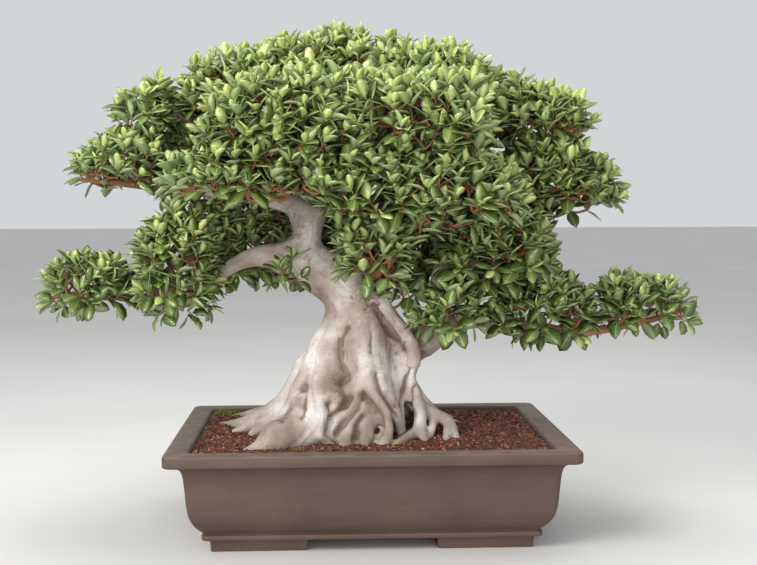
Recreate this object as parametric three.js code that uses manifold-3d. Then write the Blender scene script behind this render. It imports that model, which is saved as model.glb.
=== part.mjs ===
// A ficus bonsai in a rectangular stoneware pot, in millimetres, +Z up.
// The lists below are measured from the pot's centre line, with Y growing away from the front
// and Z from the underside of the feet. The finished group is moved so that its own box is
// centred over the origin.

import * as THREE from 'three';
import { mergeVertices } from 'three/addons/utils/BufferGeometryUtils.js';
import Module from 'manifold-3d';

const wasm = await Module();
wasm.setup();

// Clearance between pieces that touch, and round the limbs that stand in the leafy sprays
const GAP = 0.35;
const LIMB_GAP = 0.55;

// Pot
const POT_WIDTH = 628;
const POT_DEPTH = 464;
const POT_HEIGHT = 160;
const RIM_CORNER = 14;
const INNER_CORNER = 10;
const CORNER_STEPS = 3;
const FOOT_HEIGHT = 20;
const FOOT_INSET = 64;
const FOOT_LENGTH = 151;
const FOOT_DEPTH = 96;
const FOOT_THICKNESS = 34;
const FOOT_TAPER = 2;
const FLOOR_TOP = 38;
const DRAIN_RADIUS = 17;
const DRAIN_SPACING = 260;

// Drain screens
const SCREEN_SIZE = 62;
const SCREEN_THICKNESS = 1.6;
const SCREEN_SLOTS = 2;
const SCREEN_SLOT_WIDTH = 10;

// Soil, and the stump below the roots that stands in its hole
const SOIL_EDGE = 154;
const SOIL_DOME = 1.5;
const SOIL_RINGS = [80, 170];
const PLUG_RADIUS = 78;
const PLUG_TAPER = 0.8;
const PLUG_BOTTOM = 96;
const PLUG_TOP = 189;
const PLUG_SIDES = 12;

// Leaves, and the gap between neighbouring sprays' cores
const LEAF_LENGTH = 42;
const LEAF_WIDTH = 22;
const LEAF_THICKNESS = 2.4;
const LEAF_SHOULDER = 0.6;
const LEAF_ROOT = 8;
const LEAF_SPACING = 61;
const LEAF_TRIES = 14;
const LEAF_REACH = 18;
const CORE_RUFFLE = 0.1;
const CORE_GAP = 3;

// The sprays are full towards this place in the tree, and pointed away from it
const TREE_HEART = new THREE.Vector3(-40, 0, 500);
const FULLEST = 5.5;
const POINTED = 2.1;
// Share of a spray's height that lies below its centre
const LOW_SHARE = 0.3;

const BARK = { color: 0xc8b9a5, roughness: 0.85, metalness: 0 };
const CLAY = { color: 0x6b574a, roughness: 0.7, metalness: 0 };
const EARTH = { color: 0x5a3228, roughness: 0.95, metalness: 0 };
const PLASTIC = { color: 0x2b2d2b, roughness: 0.6, metalness: 0 };
const LEAF_GREEN = { color: 0x5a7d2f, roughness: 0.45, metalness: 0 };

// Pot's profile from the middle of its underside to the middle of its floor, as the inset from
// the rim's outline and the height
const POT_PROFILE = [
  [54, FOOT_HEIGHT], [52, 26], [57, 29],
  [54, 32], [44, 42], [36, 56], [32, 74], [29, 108], [27, 124], [23, 134], [14, 140],
  [2, 142], [0, 146], [0, 157], [3, POT_HEIGHT],
  [33, POT_HEIGHT], [37, 156], [46, 96], [66, FLOOR_TOP],
];

// Facets round a limb, by the radius that its thickest station passes
const LIMB_SIDES = [[70, 10], [29, 6], [20, 5], [0, 4]];

// Trunk and what grows from it: each route is a list of [x, y, z, radius]
const TRUNK = [
  [-34, 8, 104, 66], [-32, 5, 160, 82], [-29, 1, 205, 89], [-27, 0, 243, 80], [-25, 0, 282, 64],
  [-24, 0, 315, 52], [-24, 0, 342, 47], [-24, 0, 372, 49], [-42, 0, 400, 46], [-84, 0, 428, 40],
  [-102, 0, 456, 31], [-101, 0, 482, 25], [-99, 0, 506, 30], [-97, 0, 530, 39],
];

const ROOTS = [
  // Long root to the left, with its toes
  [[-50, 5, 310, 33], [-72, 8, 276, 34], [-94, 10, 250, 34], [-107, 12, 225, 32], [-130, 16, 196, 28],
    [-165, 20, 177, 22], [-195, 24, 165, 15]],
  [[-180, 25, 170, 17], [-222, 52, 158, 10], [-262, 88, 148, 5]],
  [[-185, 22, 168, 14], [-215, 42, 157, 9], [-240, 60, 148, 5]],
  [[-180, 15, 168, 15], [-208, 5, 158, 10], [-232, -3, 148, 6]],
  [[-165, 8, 170, 17], [-185, -20, 158, 11], [-200, -42, 148, 6]],
  // Dark root behind it
  [[-100, 55, 210, 24], [-150, 100, 176, 17], [-205, 140, 158, 10], [-245, 163, 148, 5]],
  // Great front root: a heavy foot as far as its knob, and then a thin tip
  [[-56, -14, 300, 36], [-68, -44, 250, 38], [-98, -98, 188, 36], [-122, -114, 171, 32],
    [-162, -137, 160, 22], [-176, -142, 154, 14], [-210, -152, 146, 5]],
  [[-62, -40, 250, 36], [-78, -104, 184, 28], [-82, -120, 158, 20]],
  [[-88, -30, 262, 24], [-110, -52, 225, 21], [-126, -72, 196, 19], [-140, -92, 172, 16]],
  // Slanted strands in front
  [[-16, -55, 262, 22], [-22, -88, 216, 17], [-46, -104, 182, 14], [-66, -120, 150, 11]],
  [[-9, -66, 250, 19], [-14, -96, 208, 16], [-32, -112, 176, 14], [-44, -124, 147, 11]],
  [[0, -60, 240, 20], [-4, -92, 200, 17], [-14, -116, 147, 12]],
  // Middle thigh, which narrows to a strand and a toe beside it
  [[-8, -32, 305, 38], [0, -54, 272, 32], [6, -80, 240, 24], [13, -98, 214, 17], [22, -108, 190, 13],
    [24, -116, 168, 11], [14, -122, 147, 9]],
  [[14, -78, 234, 22], [30, -84, 208, 16], [44, -80, 186, 10], [52, -72, 150, 6]],
  // Thin strand set back under the arch
  [[42, -28, 262, 13], [47, -44, 220, 9], [50, -50, 184, 8], [52, -55, 150, 8]],
  // Right root with its forks
  [[42, 0, 292, 30], [54, -16, 250, 21], [64, -28, 222, 16], [78, -36, 202, 14], [128, -50, 177, 10],
    [140, -84, 148, 6]],
  [[74, -44, 212, 14], [81, -60, 190, 11], [77, -78, 170, 10], [58, -96, 161, 8], [36, -124, 146, 5]],
  [[104, -44, 182, 9], [98, -70, 163, 7], [84, -100, 152, 6]],
  [[128, -54, 172, 9], [122, -84, 157, 7], [114, -104, 148, 5]],
  // Surface roots to the right and back
  [[54, 24, 232, 26], [90, 36, 190, 16], [130, 50, 164, 9], [165, 66, 149, 5]],
  [[70, 40, 205, 22], [115, 78, 168, 13], [158, 112, 149, 6]],
  // Back buttresses
  [[-20, 40, 285, 34], [-42, 72, 235, 34], [-55, 110, 186, 27], [-72, 146, 162, 16], [-92, 172, 148, 7]],
  [[12, 40, 270, 30], [32, 76, 220, 30], [50, 112, 180, 23], [76, 146, 160, 13], [94, 168, 148, 6]],
  [[-70, 42, 250, 30], [-105, 84, 195, 25], [-142, 128, 164, 14], [-168, 152, 149, 6]],
];

const LIMBS = [
  // Aerial root that joins the right flank
  [[14, -36, 392, 13], [28, -46, 362, 12], [52, -50, 330, 12], [69, -46, 300, 12], [73, -38, 274, 12],
    [64, -28, 248, 13]],
  // Low limb to the left
  [[-96, 0, 452, 30], [-136, 0, 446, 26], [-180, -4, 446, 17], [-221, -4, 432, 13], [-279, -8, 394, 11],
    [-362, -8, 389, 9], [-429, 0, 381, 7], [-479, 6, 384, 5], [-532, 0, 377, 3]],
  // Low limb to the right
  [[14, 0, 262, 36], [58, 0, 288, 34], [92, 0, 304, 29], [114, 0, 319, 24], [138, 0, 331, 16],
    [172, 0, 334, 11], [236, -4, 334, 11], [288, -8, 326, 9], [353, -4, 316, 8], [420, 0, 325, 7],
    [487, 6, 338, 5], [552, 0, 362, 3]],
  // Upright stem on it, and the stem's right branch
  [[128, 0, 322, 20], [120, 6, 356, 18], [120, 8, 388, 19], [124, 6, 421, 16], [134, 2, 452, 11],
    [142, 0, 484, 7]],
  [[124, 6, 415, 12], [170, 0, 431, 10], [220, -6, 436, 8], [270, 0, 456, 6], [312, 6, 478, 3]],
  [[160, 2, 429, 9], [214, 70, 436, 8], [262, 148, 452, 4]],
  [[122, 4, 352, 10], [118, -46, 360, 7], [112, -90, 370, 4]],
  // Short stub and pale stem at the back
  [[-84, -10, 452, 12], [-58, -26, 444, 9], [-42, -34, 434, 7]],
  [[-24, 30, 392, 16], [-18, 70, 424, 12], [10, 130, 448, 9], [60, 196, 462, 5]],
  [[-8, 4, 396, 17], [-22, 40, 440, 11], [-36, 60, 480, 9], [-50, 66, 520, 8]],
  // Small limb to the front low spray
  [[-14, -30, 384, 13], [2, -72, 408, 9], [18, -118, 430, 5]],
  // Small limb to the back of the low left layer
  [[-96, 10, 458, 18], [-132, 66, 466, 12], [-186, 126, 474, 6]],
  // Twig of the hanging tuft
  [[-136, -8, 440, 8], [-139, -30, 428, 5], [-140, -42, 412, 3]],
  // Leader and crown
  [[-97, 0, 520, 33], [-112, 0, 562, 22], [-128, 0, 610, 17], [-98, 10, 680, 12], [-62, 12, 770, 4]],
  [[-112, 5, 652, 11], [-170, 14, 700, 8], [-236, 20, 732, 4]],
  [[-92, 10, 688, 10], [10, 10, 716, 8], [140, 10, 752, 4]],
  [[-122, 0, 596, 12], [-122, -90, 632, 9], [-114, -206, 650, 4]],
  [[-108, 0, 644, 11], [-10, -96, 648, 8], [52, -206, 652, 4]],
  [[-118, 0, 622, 12], [-116, 96, 648, 9], [-110, 216, 668, 4]],
  [[-100, 8, 664, 11], [-12, 104, 664, 8], [60, 222, 672, 4]],
  // Upper layers
  [[-122, 0, 592, 14], [-212, 2, 650, 10], [-346, 0, 682, 7], [-420, 0, 692, 3]],
  [[-180, 2, 634, 9], [-236, 34, 634, 7], [-296, 66, 626, 4]],
  [[-112, 0, 616, 14], [52, 0, 640, 10], [170, 0, 654, 8], [330, 0, 672, 3]],
  // Middle layers
  [[-100, 0, 520, 22], [-146, 0, 538, 16], [-240, 0, 550, 11], [-346, 0, 560, 8], [-470, 0, 572, 3]],
  [[-90, 0, 522, 24], [-62, 0, 534, 18], [70, 0, 530, 14], [154, 0, 542, 11], [320, 0, 554, 7],
    [420, 0, 558, 3]],
  [[-100, 0, 524, 18], [-146, -76, 546, 11], [-196, -176, 560, 4]],
  [[-30, 0, 532, 15], [34, -86, 534, 10], [112, -182, 548, 4]],
  [[-108, 0, 524, 18], [-158, 96, 560, 11], [-236, 218, 590, 4]],
  [[20, 0, 532, 14], [100, 108, 552, 10], [206, 222, 578, 4]],
];

// Leafy sprays: the centre and the half sizes of each one's leafy outline
const PADS = {
  crown_left: [-230, 16, 717, 88, 108, 71],
  crown_middle: [-58, 8, 742, 110, 116, 82],
  crown_right: [132, 12, 730, 92, 112, 76],
  crown_front_left: [-140, -200, 662, 112, 92, 64],
  crown_front_right: [82, -200, 664, 108, 92, 65],
  crown_back_left: [-124, 222, 682, 112, 98, 70],
  crown_back_right: [92, 222, 682, 102, 98, 74],
  upper_left: [-380, 0, 687, 62, 104, 33],
  upper_right: [300, 0, 680, 80, 112, 46],
  mid_left_upper: [-296, 66, 630, 62, 80, 34],
  mid_left: [-416, -4, 590, 84, 112, 42],
  mid_left_front: [-198, -176, 578, 136, 104, 40],
  mid_left_back: [-262, 226, 574, 130, 100, 48],
  mid_right: [338, -4, 568, 98, 116, 46],
  mid_right_front: [90, -180, 552, 150, 104, 58],
  mid_right_back: [214, 214, 566, 130, 104, 50],
  low_left_tip: [-468, 0, 397, 68, 88, 42],
  low_left_middle: [-334, -14, 422, 72, 106, 78],
  low_left_back: [-184, 140, 464, 104, 88, 58],
  low_back: [51, 180, 455, 105, 90, 57],
  low_right: [220, -44, 460, 98, 96, 52],
  low_right_back: [256, 152, 450, 98, 88, 62],
  bottom_right_inner: [140, -98, 362, 60, 64, 30],
  bottom_right_middle: [306, 0, 348, 92, 92, 46],
  bottom_right_tip: [488, 0, 354, 88, 82, 38],
  front_low: [15, -140, 444, 65, 66, 44],
  hanging_tuft: [-140, -44, 418, 36, 36, 32],
};

function seededRandom(seed) {
  let state = seed;
  return () => {
    state = (state * 1664525 + 1013904223) % 4294967296;
    return state / 4294967296;
  };
}

// Closed geometry to a solid, with shared vertices merged, slivers without area dropped and
// faces pointing out
function toSolid(geometry) {
  const bare = geometry.clone();
  bare.deleteAttribute('normal');
  bare.deleteAttribute('uv');
  const merged = mergeVertices(bare, 1e-4);
  const points = merged.attributes.position.array;
  const index = merged.index.array;
  const triangles = [];
  let volume = 0;
  const corner = (i) => new THREE.Vector3().fromArray(points, 3 * i);
  for (let i = 0; i < index.length; i += 3) {
    const [a, b, c] = [index[i], index[i + 1], index[i + 2]];
    if (a === b || b === c || c === a) continue;
    triangles.push(a, b, c);
    volume += corner(a).dot(corner(b).cross(corner(c)));
  }
  if (volume < 0) triangles.reverse();
  const vertProperties = new Float32Array(points);
  const triVerts = new Uint32Array(triangles);
  return new wasm.Manifold(new wasm.Mesh({ numProp: 3, vertProperties, triVerts }));
}

function toGeometry(solid) {
  const mesh = solid.getMesh();
  const geometry = new THREE.BufferGeometry();
  geometry.setAttribute('position', new THREE.BufferAttribute(mesh.vertProperties, 3));
  geometry.setIndex(new THREE.BufferAttribute(mesh.triVerts, 1));
  geometry.computeVertexNormals();
  return geometry;
}

function largestBody(solid) {
  const bodies = solid.decompose();
  return bodies.reduce((best, body) => (body.volume() > best.volume() ? body : best));
}

function joinAll(solids) {
  return solids.reduce((joined, solid) => joined.add(solid));
}

// A turned profile whose circles are reshaped into rounded rectangles that lie inside the
// rim's outline by each profile point's inset
function rectangularTurning(profile, cornerAt) {
  const [, startHeight] = profile[0];
  const [, endHeight] = profile[profile.length - 1];
  const closed = [[null, startHeight], ...profile, [null, endHeight]];
  const segments = 4 * (CORNER_STEPS + 1);
  const turned = new THREE.LatheGeometry(closed.map(([, z]) => new THREE.Vector2(1, z)), segments);
  const position = turned.attributes.position;
  for (let i = 0; i <= segments; i += 1) {
    const quarter = Math.floor((i % segments) / (CORNER_STEPS + 1));
    const step = (i % segments) % (CORNER_STEPS + 1);
    const angle = (Math.PI / 2) * (quarter + step / CORNER_STEPS);
    const side = Math.PI / 2 * quarter + Math.PI / 4;
    closed.forEach(([inset, z], j) => {
      let x = 0;
      let y = 0;
      if (inset !== null) {
        const corner = cornerAt(inset);
        x = Math.sign(Math.cos(side)) * (POT_WIDTH / 2 - inset - corner) + corner * Math.cos(angle);
        y = Math.sign(Math.sin(side)) * (POT_DEPTH / 2 - inset - corner) + corner * Math.sin(angle);
      }
      position.setXYZ(i * closed.length + j, x, y, z);
    });
  }
  return toSolid(turned);
}

function rimCorner(inset) {
  return Math.max(RIM_CORNER - 0.25 * inset, INNER_CORNER);
}

// An L-shaped corner foot, a little narrower where it stands
function footSolid(signX, signY) {
  const outerX = POT_WIDTH / 2 - FOOT_INSET;
  const outerY = POT_DEPTH / 2 - FOOT_INSET;
  const innerX = outerX - FOOT_LENGTH;
  const innerY = outerY - FOOT_DEPTH;
  const shape = new THREE.Shape();
  shape.moveTo(outerX, outerY - 6);
  shape.lineTo(outerX - 6, outerY);
  shape.lineTo(innerX, outerY);
  shape.lineTo(innerX, outerY - FOOT_THICKNESS);
  shape.lineTo(outerX - FOOT_THICKNESS, outerY - FOOT_THICKNESS);
  shape.lineTo(outerX - FOOT_THICKNESS, innerY);
  shape.lineTo(outerX, innerY);
  const foot = new THREE.ExtrudeGeometry(shape, { depth: FOOT_HEIGHT + 4, bevelEnabled: false });
  const position = foot.attributes.position;
  const middleX = (outerX + innerX) / 2;
  const middleY = (outerY + innerY) / 2;
  for (let i = 0; i < position.count; i += 1) {
    const narrowing = position.getZ(i) > 1 ? 0 : FOOT_TAPER;
    const x = position.getX(i) - Math.sign(position.getX(i) - middleX) * narrowing;
    const y = position.getY(i) - Math.sign(position.getY(i) - middleY) * narrowing;
    position.setXY(i, signX * x, signY * y);
  }
  return toSolid(foot);
}

function drainPlaces() {
  return [-DRAIN_SPACING / 2, DRAIN_SPACING / 2];
}

function potSolid() {
  let pot = rectangularTurning(POT_PROFILE, rimCorner);
  for (const signX of [-1, 1]) {
    for (const signY of [-1, 1]) pot = pot.add(footSolid(signX, signY));
  }
  for (const x of drainPlaces()) {
    const hole = new THREE.CylinderGeometry(DRAIN_RADIUS, DRAIN_RADIUS, 4 * FLOOR_TOP, 12);
    hole.rotateX(Math.PI / 2);
    hole.translate(x, 0, 0);
    pot = pot.subtract(toSolid(hole));
  }
  return pot;
}

// A square mesh with two crossing layers of slots, flat on the pot's floor
function screenGeometry() {
  const plate = new THREE.BoxGeometry(SCREEN_SIZE, SCREEN_SIZE, SCREEN_THICKNESS);
  let screen = toSolid(plate);
  const pitch = SCREEN_SIZE / (SCREEN_SLOTS + 1);
  for (let i = 0; i < SCREEN_SLOTS; i += 1) {
    for (let j = 0; j < SCREEN_SLOTS; j += 1) {
      const slot = new THREE.BoxGeometry(SCREEN_SLOT_WIDTH, SCREEN_SLOT_WIDTH, 3 * SCREEN_THICKNESS);
      const middle = (SCREEN_SLOTS - 1) / 2;
      slot.translate((i - middle) * pitch, (j - middle) * pitch, 0);
      screen = screen.subtract(toSolid(slot));
    }
  }
  return toGeometry(screen);
}

// A tapering limb: a cylinder bent along a smooth route through its stations
function limbSolid(stations, sides, grow = 0) {
  const points = stations.map(([x, y, z]) => new THREE.Vector3(x, y, z));
  const curve = new THREE.CatmullRomCurve3(points, false, 'centripetal');
  const steps = stations.length - 1;
  const frames = curve.computeFrenetFrames(steps, false);
  const limb = new THREE.CylinderGeometry(1, 1, 1, sides, steps);
  const position = limb.attributes.position;
  for (let i = 0; i < position.count; i += 1) {
    const u = 0.5 - position.getY(i);
    const step = Math.round(u * steps);
    const along = curve.getUtoTmapping(u) * (stations.length - 1);
    const before = Math.min(Math.floor(along), stations.length - 2);
    const [thick, thin] = [stations[before][3], stations[before + 1][3]];
    const radius = THREE.MathUtils.lerp(thick, thin, along - before) + grow;
    const place = curve.getPointAt(u);
    place.addScaledVector(frames.normals[step], radius * position.getX(i));
    place.addScaledVector(frames.binormals[step], radius * position.getZ(i));
    if (step === 0) place.addScaledVector(frames.tangents[step], -grow);
    if (step === steps) place.addScaledVector(frames.tangents[step], grow);
    position.setXYZ(i, place.x, place.y, place.z);
  }
  return toSolid(limb);
}

// Thick limbs are rounder than thin ones
function sidesOf(stations) {
  const thickest = Math.max(...stations.map((station) => station[3]));
  const [, sides] = LIMB_SIDES.find(([radius]) => thickest > radius);
  return sides;
}

function treeSolid(grow = 0) {
  const branches = [TRUNK, ...ROOTS, ...LIMBS];
  return joinAll(branches.map((stations) => limbSolid(stations, sidesOf(stations), grow)));
}

// Soil fills the pot to just under its rim and rises a little towards the trunk
function soilBlock(lift) {
  const [rim, wall, floor] = POT_PROFILE.slice(-3);
  const share = (SOIL_EDGE - wall[1]) / (rim[1] - wall[1]);
  const walls = [floor, wall].map(([inset, z]) => [inset + GAP, z + GAP]);
  const edge = [THREE.MathUtils.lerp(wall[0], rim[0], share) + GAP, SOIL_EDGE + lift];
  const crest = Math.max(...SOIL_RINGS);
  const top = SOIL_RINGS.map((inset) => [inset, SOIL_EDGE + lift + (SOIL_DOME * inset) / crest]);
  return rectangularTurning([...walls, edge, ...top], rimCorner);
}

function plugSolid(grow) {
  const height = PLUG_TOP - PLUG_BOTTOM;
  const foot = PLUG_RADIUS * PLUG_TAPER;
  const plug = new THREE.CylinderGeometry(PLUG_RADIUS + grow, foot + grow, height + 2 * grow, PLUG_SIDES);
  plug.rotateX(Math.PI / 2);
  plug.translate(TRUNK[0][0], TRUNK[0][1], PLUG_BOTTOM + height / 2);
  return toSolid(plug);
}

function soilSolid(screens) {
  let soil = soilBlock(0);
  for (const x of screens) {
    const size = SCREEN_SIZE + 2 * GAP;
    const recess = new THREE.BoxGeometry(size, size, 2 * (SCREEN_THICKNESS + 2 * GAP));
    recess.translate(x, 0, FLOOR_TOP);
    soil = soil.subtract(toSolid(recess));
  }
  return soil.subtract(plugSolid(GAP));
}

// A leaf's blade: a pointed root at the origin, two shoulders and a tip on +Y, with its
// midrib as a ridge on top and a flat chord from shoulder to shoulder below
function leafGeometry(margin) {
  const half = LEAF_WIDTH / 2 + margin;
  const shoulder = LEAF_SHOULDER * LEAF_LENGTH;
  const tip = LEAF_LENGTH + margin;
  const drop = -LEAF_THICKNESS - margin;
  const corners = [0, 0, margin, -half, shoulder, drop, half, shoulder, drop, 0, tip, margin];
  const leaf = new THREE.BufferGeometry();
  leaf.setAttribute('position', new THREE.BufferAttribute(new Float32Array(corners), 3));
  leaf.setIndex([0, 3, 1, 0, 2, 3, 0, 1, 2, 1, 3, 2]);
  return leaf;
}

const LEAF = leafGeometry(0);
const LEAF_GUARD = leafGeometry(0.6);

// A spray's core: a ball drawn out to a rounded box on the side of the tree's heart
function coreGeometry([x, y, z, halfX, halfY, halfZ], grow = 0) {
  const core = new THREE.IcosahedronGeometry(1, 1);
  const position = core.attributes.position;
  const centre = new THREE.Vector3(x, y, z - halfZ * (1 - 2 * LOW_SHARE));
  const outward = centre.clone().sub(TREE_HEART).normalize();
  for (let i = 0; i < position.count; i += 1) {
    const way = new THREE.Vector3().fromBufferAttribute(position, i);
    const ahead = way.dot(outward);
    const power = FULLEST - (FULLEST - POINTED) * Math.max(0, ahead) ** 1.5;
    const size = way.toArray().reduce((sum, part) => sum + Math.abs(part) ** power, 0) ** (1 / power);
    const ruffle = 1 + CORE_RUFFLE * Math.sin(9 * way.x + x) * Math.cos(8 * way.y + y + 5 * way.z);
    const inset = LEAF_REACH * (0.6 + 0.4 * THREE.MathUtils.clamp(0.5 + 1.5 * ahead, 0, 1)) - grow;
    const height = 2 * halfZ * (way.z < 0 ? LOW_SHARE : 1 - LOW_SHARE);
    const reach = new THREE.Vector3(halfX - inset, halfY - inset, height - inset);
    const place = way.multiply(reach).multiplyScalar(ruffle / size).add(centre);
    position.setXYZ(i, place.x, place.y, place.z);
  }
  return core;
}

// Farther than any core reaches from its centre
const SIGHT = 400;

function boxesMeet(one, other) {
  const a = one.boundingBox();
  const b = other.boundingBox();
  return [0, 1, 2].every((i) => a.min[i] < b.max[i] && b.min[i] < a.max[i]);
}

function meets(one, other) {
  return boxesMeet(one, other) && one.intersect(other).volume() > 0;
}

// One leafy spray: leaves spread evenly over the core, each turned until it crosses nothing
function padSolid(pad, core, obstacles, random) {
  const [x, y, z, halfX, halfY, halfZ] = pad;
  const centre = new THREE.Vector3(x, y, z);
  const halves = new THREE.Vector3(halfX, halfY, halfZ);
  const area = core.surfaceArea();
  const count = Math.round(area / (LEAF_SPACING * LEAF_SPACING));
  const target = new THREE.Mesh(toGeometry(core), new THREE.MeshBasicMaterial({ side: THREE.DoubleSide }));
  target.updateMatrixWorld();
  const leaves = [];
  let guards = null;
  for (let i = 0; i < count; i += 1) {
    for (let attempt = 0; attempt < LEAF_TRIES; attempt += 1) {
      const height = 1 - (2 * (i + 0.5 + 0.4 * (random() - 0.5))) / count;
      const turn = i * Math.PI * (3 - Math.sqrt(5)) + 0.5 * (random() - 0.5);
      const ring = Math.sqrt(1 - Math.min(1, height * height));
      const way = new THREE.Vector3(ring * Math.cos(turn), ring * Math.sin(turn), height);
      way.multiply(halves).normalize();
      const outside = centre.clone().addScaledVector(way, SIGHT);
      const [hit] = new THREE.Raycaster(outside, way.clone().negate(), 0, SIGHT).intersectObject(target);
      if (!hit) continue;
      const out = way.clone().divide(halves).normalize();
      const along = new THREE.Vector3(random() - 0.5, random() - 0.5, random() - 0.3);
      along.addScaledVector(way, 0.5).projectOnPlane(out).normalize();
      const heading = out.clone().multiplyScalar(0.7 + 0.6 * random()).add(along).normalize();
      const facing = out.clone().projectOnPlane(heading).normalize();
      const across = new THREE.Vector3().crossVectors(heading, facing);
      const normal = new THREE.Vector3().crossVectors(across, heading);
      const root = hit.point.clone().addScaledVector(heading, -LEAF_ROOT);
      const placing = new THREE.Matrix4().makeBasis(across, heading, normal).setPosition(root);
      const guard = toSolid(LEAF_GUARD.clone().applyMatrix4(placing));
      if (obstacles.some((other) => meets(guard, other))) continue;
      if (guards && meets(guard, guards)) continue;
      leaves.push(toSolid(LEAF.clone().applyMatrix4(placing)));
      guards = guards ? guards.add(guard) : guard;
      break;
    }
  }

  return joinAll([core, ...leaves]);
}

function addPiece(group, name, geometry, finish) {
  const mesh = new THREE.Mesh(geometry, new THREE.MeshStandardMaterial(finish));
  mesh.name = name;
  group.add(mesh);
  return mesh;
}

const tree = largestBody(treeSolid().subtract(soilBlock(GAP)).add(plugSolid(0)));
const treeGrown = treeSolid(LIMB_GAP);
const group = new THREE.Group();

addPiece(group, 'pot', toGeometry(potSolid()), CLAY);
addPiece(group, 'soil', toGeometry(soilSolid(drainPlaces())), EARTH);
for (const x of drainPlaces()) {
  const screen = addPiece(group, `drain_screen_${x < 0 ? 'left' : 'right'}`, screenGeometry(), PLASTIC);
  screen.position.set(x, 0, FLOOR_TOP + GAP + SCREEN_THICKNESS / 2);
}
addPiece(group, 'trunk', toGeometry(tree), BARK);

const random = seededRandom(1893);
const names = Object.keys(PADS);
const cores = [];
let taken = treeGrown;
for (const name of names) {
  cores.push(largestBody(toSolid(coreGeometry(PADS[name])).subtract(taken)));
  taken = taken.add(toSolid(coreGeometry(PADS[name], CORE_GAP)));
}
const finished = [];
names.forEach((name, i) => {
  const neighbours = cores.filter((core, j) => j > i);
  const pad = padSolid(PADS[name], cores[i], [treeGrown, ...neighbours, ...finished], random);
  finished.push(pad);
  addPiece(group, `leaves_${name}`, toGeometry(pad), LEAF_GREEN);
});

// The whole part stands centred over the origin
const box = new THREE.Box3().setFromObject(group);
const middle = box.getCenter(new THREE.Vector3());
group.position.set(-middle.x, -middle.y, 0);

export default group;
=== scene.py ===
import math
import random

import bmesh
import bpy
import numpy as np
from mathutils import Matrix, Vector, noise


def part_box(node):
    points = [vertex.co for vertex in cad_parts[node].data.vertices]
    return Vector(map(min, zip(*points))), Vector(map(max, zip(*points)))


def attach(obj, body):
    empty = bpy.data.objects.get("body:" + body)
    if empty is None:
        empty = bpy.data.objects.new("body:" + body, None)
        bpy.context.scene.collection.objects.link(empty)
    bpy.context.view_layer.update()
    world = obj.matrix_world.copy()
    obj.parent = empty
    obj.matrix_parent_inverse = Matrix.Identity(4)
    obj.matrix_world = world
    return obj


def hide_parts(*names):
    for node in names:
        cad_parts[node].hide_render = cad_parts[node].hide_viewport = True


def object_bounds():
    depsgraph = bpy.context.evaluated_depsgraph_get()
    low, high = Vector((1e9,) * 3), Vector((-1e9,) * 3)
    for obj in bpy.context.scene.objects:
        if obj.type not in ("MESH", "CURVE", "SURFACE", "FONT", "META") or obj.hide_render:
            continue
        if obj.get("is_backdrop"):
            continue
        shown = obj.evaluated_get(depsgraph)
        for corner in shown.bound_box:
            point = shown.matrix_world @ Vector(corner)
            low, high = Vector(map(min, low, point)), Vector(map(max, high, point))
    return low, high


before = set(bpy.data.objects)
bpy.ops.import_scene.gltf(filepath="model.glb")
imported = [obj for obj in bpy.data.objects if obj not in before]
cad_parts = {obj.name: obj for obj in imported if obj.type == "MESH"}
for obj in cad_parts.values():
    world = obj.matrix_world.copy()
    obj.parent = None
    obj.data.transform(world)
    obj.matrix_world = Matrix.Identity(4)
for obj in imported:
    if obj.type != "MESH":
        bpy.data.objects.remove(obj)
cad_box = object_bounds()

MM = 0.001
scene = bpy.context.scene
pot_low, pot_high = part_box("pot")
MIDDLE = Vector(((pot_low.x + pot_high.x) / 2, (pot_low.y + pot_high.y) / 2, 0))

# Camera
# It stands two metres in front of the pot, a little to the left, at the height of the lower
# branches, and looks slightly down and to the right.
CAMERA_PLACE = Vector((-71, -1958, 524)) * MM
CAMERA_YAW = -2.57
CAMERA_PITCH = 86.42
CAMERA_ROLL = -0.14
CAMERA_LENS = 56.3
SENSOR_WIDTH = 36

camera = bpy.data.objects.new("camera", bpy.data.cameras.new("camera"))
scene.collection.objects.link(camera)
camera.data.lens = CAMERA_LENS
camera.data.sensor_width = SENSOR_WIDTH
camera.matrix_world = (
    Matrix.Translation(MIDDLE + CAMERA_PLACE)
    @ Matrix.Rotation(math.radians(CAMERA_YAW), 4, "Z")
    @ Matrix.Rotation(math.radians(CAMERA_PITCH), 4, "X")
    @ Matrix.Rotation(math.radians(CAMERA_ROLL), 4, "Z")
)
scene.camera = camera
scene.view_settings.view_transform = "Standard"


# Pot
# A rectangular tray of unglazed brown stoneware, pressed in a mould. It has a flat lip over a
# cove, walls that round in to a thin base moulding, and an L-shaped foot under each corner.
POT_WIDTH = pot_high.x - pot_low.x
POT_DEPTH = pot_high.y - pot_low.y
RIM_CORNER = 14 * MM
INNER_CORNER = 10 * MM
CORNER_SEGMENTS = 8
# Inset from the rim's outline, and height
MOULDING = [(54, 20), (52.6, 20.8), (52, 22.5), (52, 25.6), (52.8, 27.8), (55, 28.8)]
WALL = [(54.5, 31), (44, 41.5), (36, 56), (32, 74), (29, 108), (27, 124), (23, 134), (14, 140), (2, 142)]
LIP = [(0.6, 143.2), (0, 145), (0, 156.6), (0.9, 159.1), (3, 160), (31, 160), (34.4, 159), (36.6, 156.4)]
WELL = [(46, 96), (66, 38)]
WALL_STEPS = 3
DRAIN_RADIUS = 17 * MM
DRAIN_SPACING = 260 * MM
DRILL_LENGTH = 100 * MM
DRILL_HEIGHT = 30 * MM
FOOT_INSET = 64 * MM
FOOT_LENGTH = 151 * MM
FOOT_DEPTH = 96 * MM
FOOT_THICKNESS = 34 * MM
FOOT_HEIGHT = 23 * MM
FOOT_TAPER = 2 * MM
FOOT_EDGE = 1.6 * MM
SHARP_EDGE = math.radians(38)


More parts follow.
